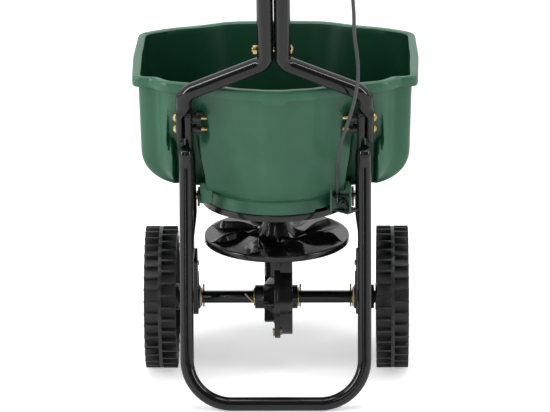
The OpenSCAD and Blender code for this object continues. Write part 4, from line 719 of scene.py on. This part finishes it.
def paddle_heights(r, turn):
    """Height of the paddles above the disc at radius r, for each direction."""
    t = (r - 10) / (IMPELLER_R - 15)
    middle = radians(34 * soft_step(t) - 12 * t)
    off = ((turn - middle + pi / BLADES) % (2 * pi / BLADES) - pi / BLADES) * r
    wide = 2.0 + 12.5 * soft_step((t - 0.26) / 0.40) - 8.5 * soft_step((t - 0.76) / 0.26)
    tall = 3.2 + 16 * np.clip(1 - t / 0.42, 0, 1) ** 2 + (BLADE_H - 3.2) * soft_step((t - 0.25) / 0.35)
    tall *= 1 - 0.93 * soft_step((t - 0.80) / 0.24)
    # The crest stands on one side; from there the leaf falls steeply outside and dishes down inside
    v = off / wide
    crest = 0.55
    outer = 1 - soft_step((v - crest) / 0.42)
    dish = np.clip((v + 1) / (1 + crest), 0, 1)
    leaf = np.where(v > crest, outer, 0.18 * soft_step(dish * 4) * (1 - dish) + dish**2.6)
    leaf = np.where(v < -1, 0, leaf)
    ridge = np.exp(-((off / 1.7) ** 2))
    blend_in = soft_step((t - 0.24) / 0.18)
    return tall * (ridge * (1 - blend_in) + leaf * blend_in)


top_rings = []
cone = lambda r: max(0.0, 26 * (30 - r) / 16) if r > HUB_R else 0.0
for r in np.concatenate([np.linspace(HUB_R + 0.2, 32, 22), np.linspace(33, IMPELLER_R - 2.2, 74)]):
    height = np.maximum(paddle_heights(r, blade_turn), 0)
    base = 26 * soft_step((30 - r) / 15.5) ** 1.3
    top_rings.append((r, PLATE_Z + soft_max(height, base, 2.5) - 0.6))
cos_t, sin_t = np.cos(blade_turn), np.sin(blade_turn)


def disc_ring(r, z):
    return np.stack(np.broadcast_arrays(r * cos_t, r * sin_t, z), -1)


impeller_rings = [disc_ring(4.77, 187.0), disc_ring(4.77, HUB_TOP), disc_ring(HUB_R - 0.8, HUB_TOP),
                  disc_ring(HUB_R, HUB_TOP - 0.8), disc_ring(HUB_R, 224.5)]
impeller_rings += [disc_ring(r, z) for r, z in top_rings]
impeller_rings += [disc_ring(r, z) for r, z in (
    (IMPELLER_R - 0.9, PLATE_Z - 0.2), (IMPELLER_R - 0.2, PLATE_Z - 0.9), (IMPELLER_R, PLATE_Z - 1.8),
    (IMPELLER_R, 188.6), (IMPELLER_R - 0.6, 188.0), (IMPELLER_R - 2.0, 188.0), (IMPELLER_R - 2.6, 188.6),
    (IMPELLER_R - 2.6, 193.4), (IMPELLER_R - 3.2, 194.0), (60.0, 194.0), (HUB_R + 0.6, 194.0), (HUB_R, 193.4),
    (HUB_R, 187.6), (HUB_R - 0.6, 187.0),
)]
finished(form("impeller_moulding", lattice(impeller_rings, loop=True), black_gloss, 50), "spinner", "black_plastic",
         "impeller")

# Pieces whose solids are right: the same forms with their edges rounded over
SOFTENED = {
    "base_plate": 0.6, "gearbox_left_shell": 0.7, "gearbox_right_shell": 0.8, "gearbox_screws": 0.3,
    "axle": 0.4, "axle_washers": 0.25, "axle_clips": 0.15, "drive_wheel": 0.55, "free_wheel": 0.55,
    "left_axle_bracket": 0.8, "right_axle_bracket": 0.8, "bracket_rivets": 0.25, "leg_caps": 0.4,
    "hopper_brackets": 0.4, "hopper_bolts": 0.4, "hopper_nuts": 0.3, "bracket_screws": 0.3, "side_bolts": 0.4,
    "side_knobs": 0.5, "handle_bolts": 0.4, "handle_nuts": 0.3, "left_grip": 0.5, "right_grip": 0.5,
    "console_body": 1.2, "console_back": 0.8, "console_clamp": 0.5, "control_lever": 0.5, "lever_knob": 0.6,
    "rate_dial": 0.4, "shutoff_crank": 0.3, "agitator": 0.6, "cable_ferrules": 0.3,
}
body_of = {node: body for body, names in frame["record"]["behaviour"]["bodies"].items() for node in names}
slot_of = {entry["node"]: entry["material_slot"] for entry in frame["record"]["subparts"]}
finish_of = {node: finish for finish, names in FINISHES.items() for node in names}
for node, width in SOFTENED.items():
    mesh = nodes[node].data
    spots = np.empty(3 * len(mesh.vertices))
    mesh.vertices.foreach_get("co", spots)
    shape = spots.reshape(-1, 3) / MM, [list(face.vertices) for face in mesh.polygons]
    piece = form(f"{node}_finished", rounded(shape, width), finish_of[node], 34)
    finished(piece, body_of[node], slot_of[node], node)

# Floor, backdrop and light
def stage_finish(name, colour, lift):
    """A pale matt surface that the camera sees lifted towards plain white where nothing shades it."""
    made = Finish(name, Roughness=0.9, Specular_IOR_Level=0.1, Emission_Strength=lift)
    seen = made.node("ShaderNodeLightPath", {}, {}, "Is Camera Ray")
    speck = made.noise(3.0, 2.0, 0.5)
    made.feed(
        Base_Color=made.mix(speck, colour, tuple(c * 0.985 for c in colour)),
        Emission_Color=made.mix(seen, (0.0, 0.0, 0.0), (1.0, 1.0, 1.0)),
    )
    return made.material


floor_mesh = bpy.data.meshes.new("floor")
floor_mesh.from_pydata([(-9, -9, 0), (9, -9, 0), (9, 9, 0), (-9, 9, 0)], [], [(0, 1, 2, 3)])
floor_object = bpy.data.objects.new("floor", floor_mesh)
scene.collection.objects.link(floor_object)
floor_mesh.materials.append(stage_finish("pale_floor", (0.88, 0.88, 0.88), 0.42))

world = bpy.data.worlds.new("world")
scene.world = world
world.use_nodes = True
sky = world.node_tree
sky.nodes.clear()
path = sky.nodes.new("ShaderNodeLightPath")
seen = path.outputs["Is Camera Ray"]
for kind in ("Is Glossy Ray", "Is Transmission Ray"):
    either = sky.nodes.new("ShaderNodeMath")
    either.operation = "MAXIMUM"
    sky.links.new(seen, either.inputs[0])
    sky.links.new(path.outputs[kind], either.inputs[1])
    seen = either.outputs[0]
plain = sky.nodes.new("ShaderNodeBackground")
plain.inputs["Color"].default_value = (1, 1, 1, 1)
# The part of the room behind the camera is dim, so that gloss surfaces show dark between the lamps
direction = sky.nodes.new("ShaderNodeTexCoord")
parts = sky.nodes.new("ShaderNodeSeparateXYZ")
sky.links.new(direction.outputs["Generated"], parts.inputs[0])
fade = sky.nodes.new("ShaderNodeMapRange")
fade.interpolation_type = "SMOOTHSTEP"
for socket, value in (("From Min", -0.35), ("From Max", 0.15), ("To Min", 0.10), ("To Max", 1.0)):
    fade.inputs[socket].default_value = value
sky.links.new(parts.outputs["Y"], fade.inputs["Value"])
sky.links.new(fade.outputs[0], plain.inputs["Strength"])
room = sky.nodes.new("ShaderNodeBackground")
room.inputs["Color"].default_value = (1, 1, 1, 1)
room.inputs["Strength"].default_value = 0.55
pick = sky.nodes.new("ShaderNodeMixShader")
sky.links.new(seen, pick.inputs[0])
sky.links.new(room.outputs[0], pick.inputs[1])
sky.links.new(plain.outputs[0], pick.inputs[2])
sky_out = sky.nodes.new("ShaderNodeOutputWorld")
sky.links.new(pick.outputs[0], sky_out.inputs[0])


def soft_box(name, place, aim, size, power):
    data = bpy.data.lights.new(name, "AREA")
    data.shape = "RECTANGLE"
    data.size, data.size_y = size
    data.energy = power
    lamp = bpy.data.objects.new(name, data)
    scene.collection.objects.link(lamp)
    lamp.location = place
    lamp.rotation_euler = (Vector(aim) - Vector(place)).to_track_quat("-Z", "Y").to_euler()


soft_box("left_soft_box", (-2.8, -1.2, 1.6), (0, 0, 0.3), (0.7, 2.6), 60)
soft_box("right_soft_box", (2.8, -1.2, 1.6), (0, 0, 0.3), (0.45, 2.6), 38)
soft_box("front_strip", (-0.9, -3.4, 1.3), (0, 0, 0.3), (0.16, 2.2), 9)
soft_box("top_soft_box", (0.0, -0.6, 3.2), (0, 0, 0.3), (2.6, 1.6), 50)

scene.view_settings.view_transform = "Standard"
